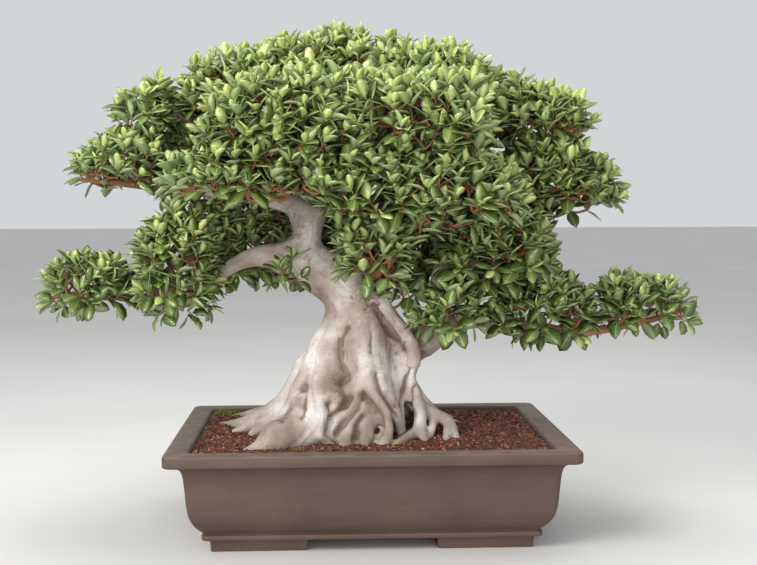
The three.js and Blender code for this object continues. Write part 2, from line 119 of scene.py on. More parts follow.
def flowing(points, steps):
    """Points on a smooth line through the given ones"""
    ends = [points[0], *points, points[-1]]
    line = []
    for a, b, c, d in zip(ends, ends[1:], ends[2:], ends[3:]):
        for step in range(steps):
            t = step / steps
            line.append(tuple(
                q + 0.5 * t * (r - p + t * (2 * p - 5 * q + 4 * r - s + t * (3 * q - p - 3 * r + s)))
                for p, q, r, s in zip(a, b, c, d)
            ))
    return [*line, points[-1]]


def corner_radius(inset):
    return max(RIM_CORNER - 0.25 * inset, INNER_CORNER)


def corner_centre(place, inset):
    """Where the arc of the nearest corner has its centre, on the outline at this inset"""
    half_width = POT_WIDTH / 2 - inset - corner_radius(inset)
    half_depth = POT_DEPTH / 2 - inset - corner_radius(inset)
    return MIDDLE + Vector((
        math.copysign(half_width, place.x - MIDDLE.x),
        math.copysign(half_depth, place.y - MIDDLE.y),
        place.z,
    ))


def first_ring(bm, inset, height):
    """The edges of a level rectangle with rounded corners, inset from the rim's outline"""
    made = bmesh.ops.create_grid(bm, x_segments=1, y_segments=1, size=0.5)["verts"]
    bmesh.ops.scale(bm, vec=(POT_WIDTH - 2 * inset, POT_DEPTH - 2 * inset, 1), verts=made)
    bmesh.ops.translate(bm, vec=(MIDDLE.x, MIDDLE.y, height), verts=made)
    rounded = bmesh.ops.bevel(
        bm, geom=made, offset=corner_radius(inset), segments=CORNER_SEGMENTS, profile=0.5,
        affect="VERTICES", material=-1,
    )
    face = max(rounded["verts"][0].link_faces, key=lambda f: f.calc_area())
    edges = list(face.edges)
    bmesh.ops.delete(bm, geom=[face], context="FACES_ONLY")
    return edges


def next_ring(bm, ring, inset, new_inset, height):
    """Extrudes a ring of edges to another inset and height, and gives the new ring"""
    grown = bmesh.ops.extrude_edge_only(bm, edges=ring)["geom"]
    verts = {part for part in grown if isinstance(part, bmesh.types.BMVert)}
    for vert in verts:
        turn = (vert.co - corner_centre(vert.co, inset)) / corner_radius(inset)
        vert.co = corner_centre(vert.co, new_inset) + turn * corner_radius(new_inset)
        vert.co.z = height
    return [
        part for part in grown if isinstance(part, bmesh.types.BMEdge) and verts.issuperset(part.verts)
    ]


def into_mesh(bm, name, smooth=True):
    """A finished bmesh as a new mesh"""
    bmesh.ops.recalc_face_normals(bm, faces=bm.faces)
    for face in bm.faces:
        face.smooth = smooth
    mesh = bpy.data.meshes.new(name)
    bm.to_mesh(mesh)
    bm.free()
    return mesh


def place_piece(name, mesh, material, slot, *nodes):
    """A new piece of the part, which rides on its only body and stands for the CAD nodes"""
    piece = bpy.data.objects.new(name, mesh)
    scene.collection.objects.link(piece)
    mesh.materials.clear()
    mesh.materials.append(material)
    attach(piece, "root")
    if nodes:
        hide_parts(*nodes)
    return piece


def baked_mesh(piece, name):
    """The mesh that an object's modifiers make; the object itself is removed"""
    bpy.context.view_layer.update()
    shaped = piece.evaluated_get(bpy.context.evaluated_depsgraph_get())
    mesh = bpy.data.meshes.new_from_object(shaped)
    mesh.name = name
    bpy.data.objects.remove(piece)
    return mesh


def loose_object(name, data):
    piece = bpy.data.objects.new(name, data)
    scene.collection.objects.link(piece)
    return piece


def tint(red, green, blue):
    """A colour given as it shows on a screen, 0 to 255, in the shader's own scale"""
    return tuple(((value / 255 + 0.055) / 1.055) ** 2.4 for value in (red, green, blue)) + (1,)


class Tone:
    """A shader value that can stand in sums: each sign adds its Math node"""

    def __init__(self, finish, socket):
        self.finish = finish
        self.socket = socket

    def sum(self, operation, first, second):
        return self.finish.node("Math", {"operation": operation}, {0: first, 1: second})

    def __add__(self, other):
        return self.sum("ADD", self, other)

    def __radd__(self, other):
        return self.sum("ADD", other, self)

    def __sub__(self, other):
        return self.sum("SUBTRACT", self, other)

    def __rsub__(self, other):
        return self.sum("SUBTRACT", other, self)

    def __mul__(self, other):
        return self.sum("MULTIPLY", self, other)

    def __rmul__(self, other):
        return self.sum("MULTIPLY", other, self)


class Finish:
    """One finish of a surface: its material, and the nodes that paint it"""

    def __init__(self, name, **uniform):
        self.material = bpy.data.materials.new(name)
        self.material.use_nodes = True
        self.tree = self.material.node_tree
        self.shader = self.tree.nodes["Principled BSDF"]
        for socket, value in uniform.items():
            self.shader.inputs[socket.replace("_", " ")].default_value = value

    def node(self, kind, settings, sockets, output=0):
        made = self.tree.nodes.new("ShaderNode" + kind)
        for name, value in settings.items():
            if name != "stops":
                setattr(made, name, value)
                continue
            ramp = made.color_ramp.elements
            while len(ramp) < len(value):
                ramp.new(0.5)
            for stop, (position, colour) in zip(ramp, value):
                stop.position = position
                stop.color = colour
        for name, value in sockets.items():
            self.feed(made.inputs[name], value)
        return Tone(self, made.outputs[output])

    def feed(self, socket, value):
        if isinstance(value, Tone):
            self.tree.links.new(value.socket, socket)
        else:
            socket.default_value = value

    def place(self):
        return self.node("TexCoord", {}, {}, "Object")

    def stretched(self, vector, scale):
        return self.node("VectorMath", {"operation": "MULTIPLY"}, {0: vector, 1: scale})

    def grain(self, vector, scale, detail=3, roughness=0.5):
        sockets = {"Vector": vector, "Scale": scale, "Detail": detail, "Roughness": roughness}
        return self.node("TexNoise", {}, sockets)

    def cells(self, vector, scale, output="Distance"):
        return self.node("TexVoronoi", {}, {"Vector": vector, "Scale": scale}, output)

    def between(self, value, low, high):
        """0 below low and 1 above high, with a soft step between them"""
        settings = {"interpolation_type": "SMOOTHSTEP"}
        return self.node("MapRange", settings, {"Value": value, "From Min": low, "From Max": high})

    def ramp(self, value, *stops):
        return self.node("ValToRGB", {"stops": stops}, {"Fac": value})

    def mixed(self, factor, first, second):
        return self.node("Mix", {"data_type": "RGBA"}, {0: factor, 6: first, 7: second}, 2)

    def paint(self, colour, roughness, relief=None, depth=0.001, strength=1.0):
        self.feed(self.shader.inputs["Base Color"], colour)
        self.feed(self.shader.inputs["Roughness"], roughness)
        if relief is not None:
            sockets = {"Strength": strength, "Distance": depth, "Height": relief}
            self.feed(self.shader.inputs["Normal"], self.node("Bump", {}, sockets))
        return self.material


def stoneware():
    """Brown clay with fine sand in it, faint wiping marks along the walls, and a paler rim top that is
    partly wear and dust, partly painted light falling from above
    """
    clay = Finish("stoneware", IOR=1.45)
    place = clay.place()
    cloud = clay.grain(place, 14, 4)
    wiped = clay.grain(clay.stretched(place, (4, 4, 60)), 2.2, 4)
    sand = clay.grain(place, 900, 2)
    speck = clay.between(clay.cells(place, 210), 0.16, 0.08)
    body = clay.ramp(cloud, (0.3, tint(76, 58, 49)), (0.52, tint(82, 64, 54)), (0.75, tint(89, 70, 60)))
    body = clay.mixed(0.12 * clay.between(wiped, 0.42, 0.66), body, tint(108, 90, 78))
    body = clay.mixed(0.22 * clay.between(sand, 0.45, 0.75), body, tint(58, 45, 38))
    body = clay.mixed(0.5 * speck * clay.between(cloud, 0.5, 0.6), body, tint(128, 110, 94))
    # The rim's top is painted paler: partly wear and dust, partly painted light from above.
    height = clay.node("SeparateXYZ", {}, {"Vector": place}, "Z")
    worn_and_lit_rim = clay.between(height, 0.1575, 0.1598)
    dust_and_light_patches = clay.between(clay.grain(place, 38, 5), 0.35, 0.7)
    body = clay.mixed(worn_and_lit_rim * (0.35 + 0.4 * dust_and_light_patches), body, tint(134, 116, 103))
    dull = 0.5 + 0.14 * cloud + 0.1 * sand
    return clay.paint(body, dull, 0.6 * sand + 0.4 * wiped, 0.0006, 0.5)


def pot_foot(bm, sign_x, sign_y):
    """One L-shaped corner foot, a little narrower where it stands"""
    outer_x = POT_WIDTH / 2 - FOOT_INSET
    outer_y = POT_DEPTH / 2 - FOOT_INSET
    corners = [
        (outer_x, outer_y),
        (outer_x - FOOT_LENGTH, outer_y),
        (outer_x - FOOT_LENGTH, outer_y - FOOT_THICKNESS),
        (outer_x - FOOT_THICKNESS, outer_y - FOOT_THICKNESS),
        (outer_x - FOOT_THICKNESS, outer_y - FOOT_DEPTH),
        (outer_x, outer_y - FOOT_DEPTH),
    ]
    centre = Vector((outer_x - FOOT_LENGTH / 2, outer_y - FOOT_DEPTH / 2, 0))
    sole = bm.faces.new([bm.verts.new((x, y, 0)) for x, y in corners])
    raised = bmesh.ops.extrude_face_region(bm, geom=[sole], use_keep_orig=True)["geom"]
    top = [part for part in raised if isinstance(part, bmesh.types.BMVert)]
    bmesh.ops.translate(bm, vec=(0, 0, FOOT_HEIGHT), verts=top)
    for vert in sole.verts:
        vert.co.x -= math.copysign(FOOT_TAPER, vert.co.x - centre.x)
        vert.co.y -= math.copysign(FOOT_TAPER, vert.co.y - centre.y)
    foot = [*sole.verts, *top]
    bmesh.ops.scale(bm, vec=(sign_x, sign_y, 1), verts=foot)
    bmesh.ops.translate(bm, vec=MIDDLE, verts=foot)
    edges = {edge for vert in foot for edge in vert.link_edges}
    bmesh.ops.bevel(
        bm, geom=list(edges), offset=FOOT_EDGE, segments=3, profile=0.5, affect="EDGES", material=-1
    )


bm = bmesh.new()
outline = [*MOULDING, *flowing(WALL, WALL_STEPS), *LIP, *WELL]
underside = ring = first_ring(bm, outline[0][0] * MM, outline[0][1] * MM)
for (inset, _), (new_inset, height) in zip(outline, outline[1:]):
    ring = next_ring(bm, ring, inset * MM, new_inset * MM, height * MM)
for hole in (underside, ring):
    bmesh.ops.contextual_create(bm, geom=hole)
vessel = loose_object("vessel", into_mesh(bm, "vessel"))

bm = bmesh.new()
for side in (-1, 1):
    bmesh.ops.create_cone(
        bm, cap_ends=True, segments=32, radius1=DRAIN_RADIUS, radius2=DRAIN_RADIUS, depth=DRILL_LENGTH,
        matrix=Matrix.Translation(MIDDLE + Vector((side * DRAIN_SPACING / 2, 0, DRILL_HEIGHT))),
    )
drills = loose_object("drills", into_mesh(bm, "drills"))
cut = vessel.modifiers.new("drains", "BOOLEAN")
cut.object = drills
cut.operation = "DIFFERENCE"
cut.solver = "MANIFOLD"
pierced = baked_mesh(vessel, "pot_body")
bpy.data.objects.remove(drills)

bm = bmesh.new()
bm.from_mesh(pierced)
for sign_x in (-1, 1):
    for sign_y in (-1, 1):
        pot_foot(bm, sign_x, sign_y)
pot_mesh = into_mesh(bm, "pot_body")
pot_mesh.set_sharp_from_angle(angle=SHARP_EDGE)
place_piece("pot_body", pot_mesh, stoneware(), "clay", "pot")


# Drain screens
# A square of plastic mesh lies over each drain hole and keeps the soil in. It is cut from a sheet
# and shows only from below.
def screen_plastic():
    plastic = Finish("screen_plastic", IOR=1.46)
    place = plastic.place()
    scuff = plastic.grain(place, 320, 3)
    colour = plastic.ramp(scuff, (0.3, tint(30, 33, 30)), (0.7, tint(52, 55, 50)))
    return plastic.paint(colour, 0.45 + 0.3 * scuff, scuff, 0.0003, 0.5)


plastic = screen_plastic()
for side in ("left", "right"):
    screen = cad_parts[f"drain_screen_{side}"]
    screen.data.materials.clear()
    screen.data.materials.append(plastic)


# Soil
# Crushed red-brown volcanic grit of 3 to 6 mm fills the pot to just under the lip and rises a
# little towards the trunk. The surface is a crumbled skin with loose grains lying on it.
SOIL_EDGE = 154 * MM
SOIL_INSET = 37.6 * MM
SOIL_CORNER = 10 * MM
SOIL_RISE = 2 * MM
SOIL_CELL = 3.4 * MM
SOIL_FOOT = [(46.4, 96), (66.4, 40.5)]
CRUMB = 1.3 * MM
GRAIN_COUNT = 4400
GRAIN_SIZES = (1.2 * MM, 2.9 * MM)
GRAIN_SHAPES = 6
SOIL_HALF = Vector((POT_WIDTH / 2 - SOIL_INSET, POT_DEPTH / 2 - SOIL_INSET, 0))


def soil_height(x, y):
    """Height of the crumbled surface at a place measured from the pot's middle"""
    edge = min(SOIL_HALF.x - abs(x), SOIL_HALF.y - abs(y))
    rise = SOIL_RISE * min(1, max(0, edge / 0.13))
    waves = 1.4 * MM * noise.noise(Vector((x * 22, y * 22, 3)))
    crumbs = CRUMB * noise.noise(Vector((x * 210, y * 210, 8)))
    crumbs += 0.6 * CRUMB * noise.noise(Vector((x * 430, y * 430, 1)))
    return SOIL_EDGE + rise + waves * min(1, edge / 0.02) + crumbs


def round_corner(x, y):
    """Squeezes a rectangle's corner into its rounded outline"""
    over_x = abs(x) - (SOIL_HALF.x - SOIL_CORNER)
    over_y = abs(y) - (SOIL_HALF.y - SOIL_CORNER)
    if over_x <= 0 or over_y <= 0:
        return x, y
    shrink = max(over_x, over_y) / math.hypot(over_x, over_y)
    return (
        math.copysign(SOIL_HALF.x - SOIL_CORNER + over_x * shrink, x),
        math.copysign(SOIL_HALF.y - SOIL_CORNER + over_y * shrink, y),
    )


def grit(name, loose):
    """Red-brown lava grit, each grain its own shade, with a few pale bits"""
    soil = Finish(name, IOR=1.45)
    place = soil.place()
    if loose:
        shade = soil.node("Attribute", {"attribute_name": "tone"}, {}, "Fac")
    else:
        shade = soil.node("SeparateColor", {}, {"Color": soil.cells(place, 230, "Color")}, "Red")
    colour = soil.ramp(
        shade, (0.0, tint(62, 30, 22)), (0.35, tint(98, 52, 36)), (0.62, tint(124, 70, 48)),
        (0.86, tint(144, 90, 62)), (0.95, tint(176, 132, 100)), (1.0, tint(196, 168, 140)),
    )
    pores = soil.grain(place, 1300, 3, 0.7)
    colour = soil.mixed(0.55 * soil.between(pores, 0.55, 0.4), colour, tint(40, 22, 18))
    damp = soil.between(soil.grain(place, 16, 4), 0.5, 0.72)
    colour = soil.mixed(0.45 * damp, colour, tint(56, 34, 28))
    return soil.paint(colour, 0.95 - 0.12 * damp, pores, 0.0008, 0.8)


bm = bmesh.new()
columns = round(2 * SOIL_HALF.x / SOIL_CELL)
rows = round(2 * SOIL_HALF.y / SOIL_CELL)
bmesh.ops.create_grid(bm, x_segments=columns, y_segments=rows, size=1)
border = [edge for edge in bm.edges if edge.is_boundary]
for vert in bm.verts:
    x, y = round_corner(vert.co.x * SOIL_HALF.x, vert.co.y * SOIL_HALF.y)
    vert.co = MIDDLE + Vector((x, y, soil_height(x, y)))
previous = (SOIL_INSET, SOIL_EDGE)
for inset, height in SOIL_FOOT:
    skirt = bmesh.ops.extrude_edge_only(bm, edges=border)["geom"]
    border = [part for part in skirt if isinstance(part, bmesh.types.BMEdge) and part.is_boundary]
    narrower = (
        (POT_WIDTH / 2 - inset * MM) / (POT_WIDTH / 2 - previous[0]),
        (POT_DEPTH / 2 - inset * MM) / (POT_DEPTH / 2 - previous[0]),
    )
    for vert in {vert for edge in border for vert in edge.verts}:
        away = vert.co - MIDDLE
        vert.co = MIDDLE + Vector((away.x * narrower[0], away.y * narrower[1], height * MM))
    previous = (inset * MM, height * MM)
bmesh.ops.contextual_create(bm, geom=border)
place_piece("soil_body", into_mesh(bm, "soil_body"), grit("grit_bed", False), "soil", "soil")


def grain_shape(number):
    """A crushed grain: a ball of few faces with its points pushed in and out"""
    dice = random.Random(number)
    bm = bmesh.new()
    bmesh.ops.create_icosphere(bm, subdivisions=1, radius=1)
    for vert in bm.verts:
        vert.co *= 0.72 + 0.5 * dice.random()
    bmesh.ops.scale(bm, vec=(1, 0.8, 0.65), verts=bm.verts)
    mesh = into_mesh(bm, f"grain_{number}", smooth=False)
    mesh.attributes.new("tone", "FLOAT_COLOR", "POINT")
    return mesh


def add_copy(bm, shape, placing, tone):
    """Adds one placed copy of a shape, with its own tone"""
    copy = shape.copy()
    copy.transform(placing)
    copy.attributes["tone"].data.foreach_set("color", (*tone, 1) * len(copy.vertices))
    bm.from_mesh(copy)
    bpy.data.meshes.remove(copy)


def any_turn(dice):
    return Matrix.Rotation(dice.uniform(0, math.tau), 4, Vector((dice.gauss(0, 1), dice.gauss(0, 1), 1)))


dice = random.Random(41)
shapes = [grain_shape(number) for number in range(GRAIN_SHAPES)]
bm = bmesh.new()
for _ in range(GRAIN_COUNT):
    size = dice.uniform(*GRAIN_SIZES)
    x, y = round_corner(
        dice.uniform(-1, 1) * (SOIL_HALF.x - size), dice.uniform(-1, 1) * (SOIL_HALF.y - size)
    )
    place = MIDDLE + Vector((x, y, soil_height(x, y) + 0.25 * size))
    placing = Matrix.Translation(place) @ any_turn(dice) @ Matrix.Scale(size, 4)
    shade = dice.random()
    add_copy(bm, dice.choice(shapes), placing, (shade, shade, shade))
place_piece("loose_grit", into_mesh(bm, "loose_grit", smooth=False), grit("grit_grains", True), "soil")


# Moss
# Small soft cushions of green moss that grow on the grit beside two of the roots, each made of
# hundreds of tiny lobes crowded over a low mound.
# Each patch: place in millimetres from the pot's middle, then its radius
MOSS_PATCHES = [
    ((-131, -91), 16), ((-112, -150), 9), ((-252, 186), 26), ((-226, 150), 12), ((96, -18), 10),
]
# Lobes in a patch, for each square millimetre of its radius squared
MOSS_LOBES = 0.9
MOSS_SIZES = (0.9 * MM, 1.9 * MM)


def moss_finish():
    """Soft yellow-green, with painted shade darkening it in fine patches between the lobes"""
    moss = Finish("moss", IOR=1.4)
    shade = moss.node("Attribute", {"attribute_name": "tone"}, {}, "Fac")
    colour = moss.ramp(
        shade, (0.0, tint(60, 74, 26)), (0.5, tint(92, 108, 40)), (1.0, tint(136, 146, 66)),
    )
    fine = moss.grain(moss.place(), 900, 3)
    # Fine darker patches are painted shade between the lobes.
    colour = moss.mixed(0.4 * moss.between(fine, 0.5, 0.7), colour, tint(48, 56, 24))
    return moss.paint(colour, 0.92, fine, 0.0005, 0.6)


bm = bmesh.new()
for (x, y), radius in MOSS_PATCHES:
    for _ in range(round(MOSS_LOBES * radius * radius)):
        turn = dice.uniform(0, math.tau)
        away = math.sqrt(dice.random())
        reach = radius * away * (1 + 0.35 * noise.noise(Vector((math.cos(turn), math.sin(turn), x))))
        across = x * MM + reach * MM * math.cos(turn)
        deep = y * MM + 0.8 * reach * MM * math.sin(turn)
        if abs(across) > SOIL_HALF.x - 3 * MM or abs(deep) > SOIL_HALF.y - 3 * MM:
            continue
        mound = 0.16 * radius * MM * (1 - away * away)
        place = MIDDLE + Vector((across, deep, soil_height(across, deep) + mound))
        placing = Matrix.Translation(place) @ any_turn(dice) @ Matrix.Scale(dice.uniform(*MOSS_SIZES), 4)
        shade = dice.random()
        add_copy(bm, dice.choice(shapes), placing, (shade, shade, shade))
place_piece("moss", into_mesh(bm, "moss"), moss_finish(), "foliage")


# Trunk and roots
# One living piece: pale smooth fig bark over a short trunk, whose roots have thickened and fused
# into buttresses. Each limb is a tapering round, the rounds are melted together, and the bark is
# then raised and sunk over them.
# Each route is a list of [x, y, z, radius] in millimetres, measured from the pot's middle
TRUNK = [
    [-34, 8, 104, 66], [-32, 5, 160, 82], [-29, 1, 205, 89], [-27, 0, 243, 80], [-25, 0, 282, 64],
    [-24, 0, 315, 52], [-24, 0, 342, 47], [-24, 0, 372, 49], [-42, 0, 400, 46], [-84, 0, 428, 40],
    [-102, 0, 456, 31], [-101, 0, 482, 25], [-99, 0, 506, 30], [-97, 0, 530, 39],
]
ROOTS = [
    # Long root to the left, with its toes
    [[-38, 4, 352, 30], [-50, 5, 310, 33], [-72, 8, 276, 34], [-94, 10, 250, 34], [-107, 12, 225, 32],
     [-130, 16, 196, 28], [-165, 20, 177, 22], [-195, 24, 165, 15]],
    [[-180, 25, 170, 17], [-222, 52, 158, 10], [-262, 88, 148, 5]],
    [[-185, 22, 168, 14], [-215, 42, 157, 9], [-240, 60, 148, 5]],
    [[-180, 15, 168, 15], [-208, 5, 158, 10], [-232, -3, 148, 6]],
    [[-165, 8, 170, 17], [-185, -20, 158, 11], [-200, -42, 148, 6]],
    # Dark root behind it
    [[-100, 55, 210, 24], [-150, 100, 176, 17], [-205, 140, 158, 10], [-245, 163, 148, 5]],
    # Great front root: a heavy foot as far as its knob, and then a thin tip
    [[-42, -4, 350, 30], [-56, -14, 300, 36], [-68, -44, 250, 38], [-82, -76, 212, 36],
     [-98, -98, 188, 36],
     [-122, -114, 171, 32], [-148, -130, 164, 26], [-162, -137, 160, 22], [-176, -142, 154, 14],
     [-192, -148, 150, 9], [-210, -152, 146, 5]],
    [[-62, -40, 250, 36], [-70, -76, 212, 33], [-78, -104, 184, 28], [-82, -120, 158, 20]],
    [[-68, -12, 310, 26], [-88, -30, 262, 24], [-110, -52, 225, 21], [-126, -72, 196, 19],
     [-140, -92, 172, 16]],
    # Slanted strands in front
    [[-20, -28, 312, 26], [-16, -55, 262, 22], [-22, -88, 216, 17], [-46, -104, 182, 14],
     [-66, -120, 150, 11]],
    [[-12, -40, 296, 22], [-9, -66, 250, 19], [-14, -96, 208, 16], [-32, -112, 176, 14],
     [-44, -124, 147, 11]],
    [[-4, -36, 290, 24], [0, -60, 240, 20], [-4, -92, 200, 17], [-10, -108, 170, 16],
     [-14, -116, 147, 12]],
    # Middle thigh, which narrows to a strand and a toe beside it
    [[-14, -12, 356, 34], [-8, -32, 305, 38], [0, -54, 272, 32], [6, -80, 240, 24], [13, -98, 214, 17],
     [22, -108, 190, 13], [24, -116, 168, 11], [14, -122, 147, 9]],
    [[2, -60, 262, 26], [14, -78, 234, 22], [30, -84, 208, 16], [44, -80, 186, 10], [52, -72, 150, 6]],
    [[-8, -112, 172, 8], [6, -120, 163, 8], [20, -122, 150, 6]],
    # Thin strand set back under the arch
    [[26, -12, 300, 20], [42, -28, 262, 13], [47, -44, 220, 9], [50, -50, 184, 8], [52, -55, 150, 8]],
    # Right root with its forks
    [[20, 0, 342, 30], [42, 0, 292, 30], [54, -16, 250, 21], [64, -28, 222, 16], [78, -36, 202, 14],
     [104, -40, 187, 12], [128, -50, 177, 10], [134, -68, 163, 9], [140, -84, 148, 6]],
    [[62, -26, 236, 17], [74, -44, 212, 14], [81, -60, 190, 11], [77, -78, 170, 10], [58, -96, 161, 8],
     [42, -112, 155, 7], [36, -124, 146, 5]],
    [[78, -72, 174, 9], [84, -90, 160, 7], [90, -106, 148, 5]],
    [[104, -44, 182, 9], [98, -70, 163, 7], [84, -100, 152, 6], [70, -116, 147, 4]],
    [[128, -54, 172, 9], [122, -84, 157, 7], [114, -104, 148, 5]],
    # Surface roots to the right and back
    [[26, 14, 280, 34], [54, 24, 232, 26], [90, 36, 190, 16], [130, 50, 164, 9], [165, 66, 149, 5]],
    [[70, 40, 205, 22], [115, 78, 168, 13], [158, 112, 149, 6]],
    # Back buttresses
    [[-24, 12, 340, 34], [-20, 40, 285, 34], [-42, 72, 235, 34], [-55, 110, 186, 27],
     [-72, 146, 162, 16],
     [-92, 172, 148, 7]],
    [[-8, 14, 324, 34], [12, 40, 270, 30], [32, 76, 220, 30], [50, 112, 180, 23], [76, 146, 160, 13],
     [94, 168, 148, 6]],
    [[-42, 18, 300, 34], [-70, 42, 250, 30], [-105, 84, 195, 25], [-142, 128, 164, 14],
     [-168, 152, 149, 6]],
]
LIMBS = [
    # Aerial root that joins the right flank
    [[14, -36, 392, 13], [28, -46, 362, 12], [52, -50, 330, 12], [69, -46, 300, 12], [73, -38, 274, 12],
     [64, -28, 248, 13]],
    # Low limb to the left
    [[-96, 0, 452, 30], [-136, 0, 446, 26], [-180, -4, 446, 17], [-221, -4, 432, 13],
     [-279, -8, 394, 11],
     [-362, -8, 389, 9], [-429, 0, 381, 7], [-479, 6, 384, 5], [-532, 0, 377, 3]],
    # Low limb to the right
    [[14, 0, 262, 36], [58, 0, 288, 34], [92, 0, 304, 29], [114, 0, 319, 24], [138, 0, 331, 16],
     [172, 0, 334, 11], [236, -4, 334, 11], [288, -8, 326, 9], [353, -4, 316, 8], [420, 0, 325, 7],
     [487, 6, 338, 5], [552, 0, 362, 3]],
    # Upright stem on it, and the stem's right branch
    [[128, 0, 322, 20], [120, 6, 356, 18], [120, 8, 388, 19], [124, 6, 421, 16], [134, 2, 452, 11],
     [142, 0, 484, 7]],
    [[124, 6, 415, 12], [170, 0, 431, 10], [220, -6, 436, 8], [270, 0, 456, 6], [312, 6, 478, 3]],
    [[160, 2, 429, 9], [214, 70, 436, 8], [262, 148, 452, 4]],
    [[122, 4, 352, 10], [118, -46, 360, 7], [112, -90, 370, 4]],
    # Short stub and pale stem at the back
    [[-84, -10, 452, 12], [-58, -26, 444, 9], [-42, -34, 434, 7]],
    [[-24, 30, 392, 16], [-18, 70, 424, 12], [10, 130, 448, 9], [60, 196, 462, 5]],
    [[-8, 4, 396, 17], [-22, 40, 440, 11], [-36, 60, 480, 9], [-50, 66, 520, 8]],
    # Small limb to the front low spray
    [[-14, -30, 384, 13], [2, -72, 408, 9], [18, -118, 430, 5]],
    # Small limb to the back of the low left layer
    [[-96, 10, 458, 18], [-132, 66, 466, 12], [-186, 126, 474, 6]],
    # Twig of the hanging tuft
    [[-136, -8, 440, 8], [-139, -30, 428, 5], [-140, -42, 412, 3]],
    # Leader and crown
    [[-97, 0, 520, 33], [-112, 0, 562, 22], [-128, 0, 610, 17], [-98, 10, 680, 12], [-62, 12, 770, 4]],
    [[-112, 5, 652, 11], [-170, 14, 700, 8], [-236, 20, 732, 4]],
    [[-92, 10, 688, 10], [10, 10, 716, 8], [140, 10, 752, 4]],
    [[-122, 0, 596, 12], [-122, -90, 632, 9], [-114, -206, 650, 4]],
    [[-108, 0, 644, 11], [-10, -96, 648, 8], [52, -206, 652, 4]],
    [[-118, 0, 622, 12], [-116, 96, 648, 9], [-110, 216, 668, 4]],
    [[-100, 8, 664, 11], [-12, 104, 664, 8], [60, 222, 672, 4]],
    # Upper layers
    [[-122, 0, 592, 14], [-212, 2, 650, 10], [-346, 0, 682, 7], [-420, 0, 692, 3]],
    [[-180, 2, 634, 9], [-236, 34, 634, 7], [-296, 66, 626, 4]],
    [[-112, 0, 616, 14], [52, 0, 640, 10], [170, 0, 654, 8], [330, 0, 672, 3]],
    # Middle layers
    [[-100, 0, 520, 22], [-146, 0, 538, 16], [-240, 0, 550, 11], [-346, 0, 560, 8], [-470, 0, 572, 3]],
    [[-90, 0, 522, 24], [-62, 0, 534, 18], [70, 0, 530, 14], [154, 0, 542, 11], [320, 0, 554, 7],
     [420, 0, 558, 3]],
    [[-100, 0, 524, 18], [-146, -76, 546, 11], [-196, -176, 560, 4]],
    [[-30, 0, 532, 15], [34, -86, 534, 10], [112, -182, 548, 4]],
    [[-108, 0, 524, 18], [-158, 96, 560, 11], [-236, 218, 590, 4]],
    [[20, 0, 532, 14], [100, 108, 552, 10], [206, 222, 578, 4]],
]
THICK = 11.5 * MM
ROUTE_STEP = 9
BARK_VOXEL = 2.95 * MM
MELT_ROUNDS = 12
FUSE_PASSES = 4
FUSE_ROUNDS = 9
# Wood thinner than this turns red-brown, and it is wholly so when it is thinner by the fade
YOUNG_GIRTH = 11.8 * MM
YOUNG_FADE = 5 * MM


def in_metres(route):
    """A route through smooth points in the frame, each (x, y, z, radius) in metres"""
    places = flowing([tuple(station) for station in route], ROUTE_STEP)
    return [(x * MM + MIDDLE.x, y * MM + MIDDLE.y, z * MM, radius * MM) for x, y, z, radius in places]


def round_limbs(name, routes, sides):
    """Closed tapering rounds along routes, as one mesh"""
    curve = bpy.data.curves.new(name, "CURVE")
    curve.dimensions = "3D"
    curve.bevel_depth = 1
    curve.bevel_resolution = sides // 2 - 2
    curve.use_fill_caps = True
    for route in routes:
        spline = curve.splines.new("POLY")
        spline.points.add(len(route) - 1)
        for point, (x, y, z, radius) in zip(spline.points, route):
            point.co = (x, y, z, 1)
            point.radius = radius
    holder = loose_object(name, curve)
    mesh = baked_mesh(holder, name)
    bpy.data.curves.remove(curve)
    return mesh


def smoothed(places, edges, rounds, share):
    """Vertex places drawn towards the mean of their neighbours, each by its own share"""
    count = len(places)
    degree = np.bincount(edges.ravel(), minlength=count)[:, None]
    for _ in range(rounds):
        total = np.empty_like(places)
        for axis in range(3):
            total[:, axis] = np.bincount(edges[:, 0], places[edges[:, 1], axis], count)
            total[:, axis] += np.bincount(edges[:, 1], places[edges[:, 0], axis], count)
        places = places + share * (total / np.maximum(degree, 1) - places)
    return places


def fused(places, edges, normals, rounds, fill):
    """Vertex places with the furrows between strands filled, and the ridges left as they are"""
    for _ in range(rounds):
        drawn = smoothed(places, edges, 1, 0.5) - places
        lift = np.maximum((drawn * normals).sum(1), 0)
        places = places + normals * (1.5 * lift * fill)[:, None]
    return places


def sunk(places, edges, normals, rounds):
    """How far places lie below the surface that they would smooth to"""
    return ((smoothed(places, edges, rounds, 0.6) - places) * normals).sum(1)


def mesh_places(mesh, kind="co"):
    values = np.empty(3 * len(mesh.vertices), np.float32)
    mesh.vertices.foreach_get(kind, values)
    return values.reshape(-1, 3).astype(float)


def move_places(mesh, places):
    mesh.vertices.foreach_set("co", places.astype(np.float32).ravel())
    mesh.update()


def mesh_edges(mesh):
    values = np.empty(2 * len(mesh.edges), np.int32)
    mesh.edges.foreach_get("vertices", values)
    return values.reshape(-1, 2)


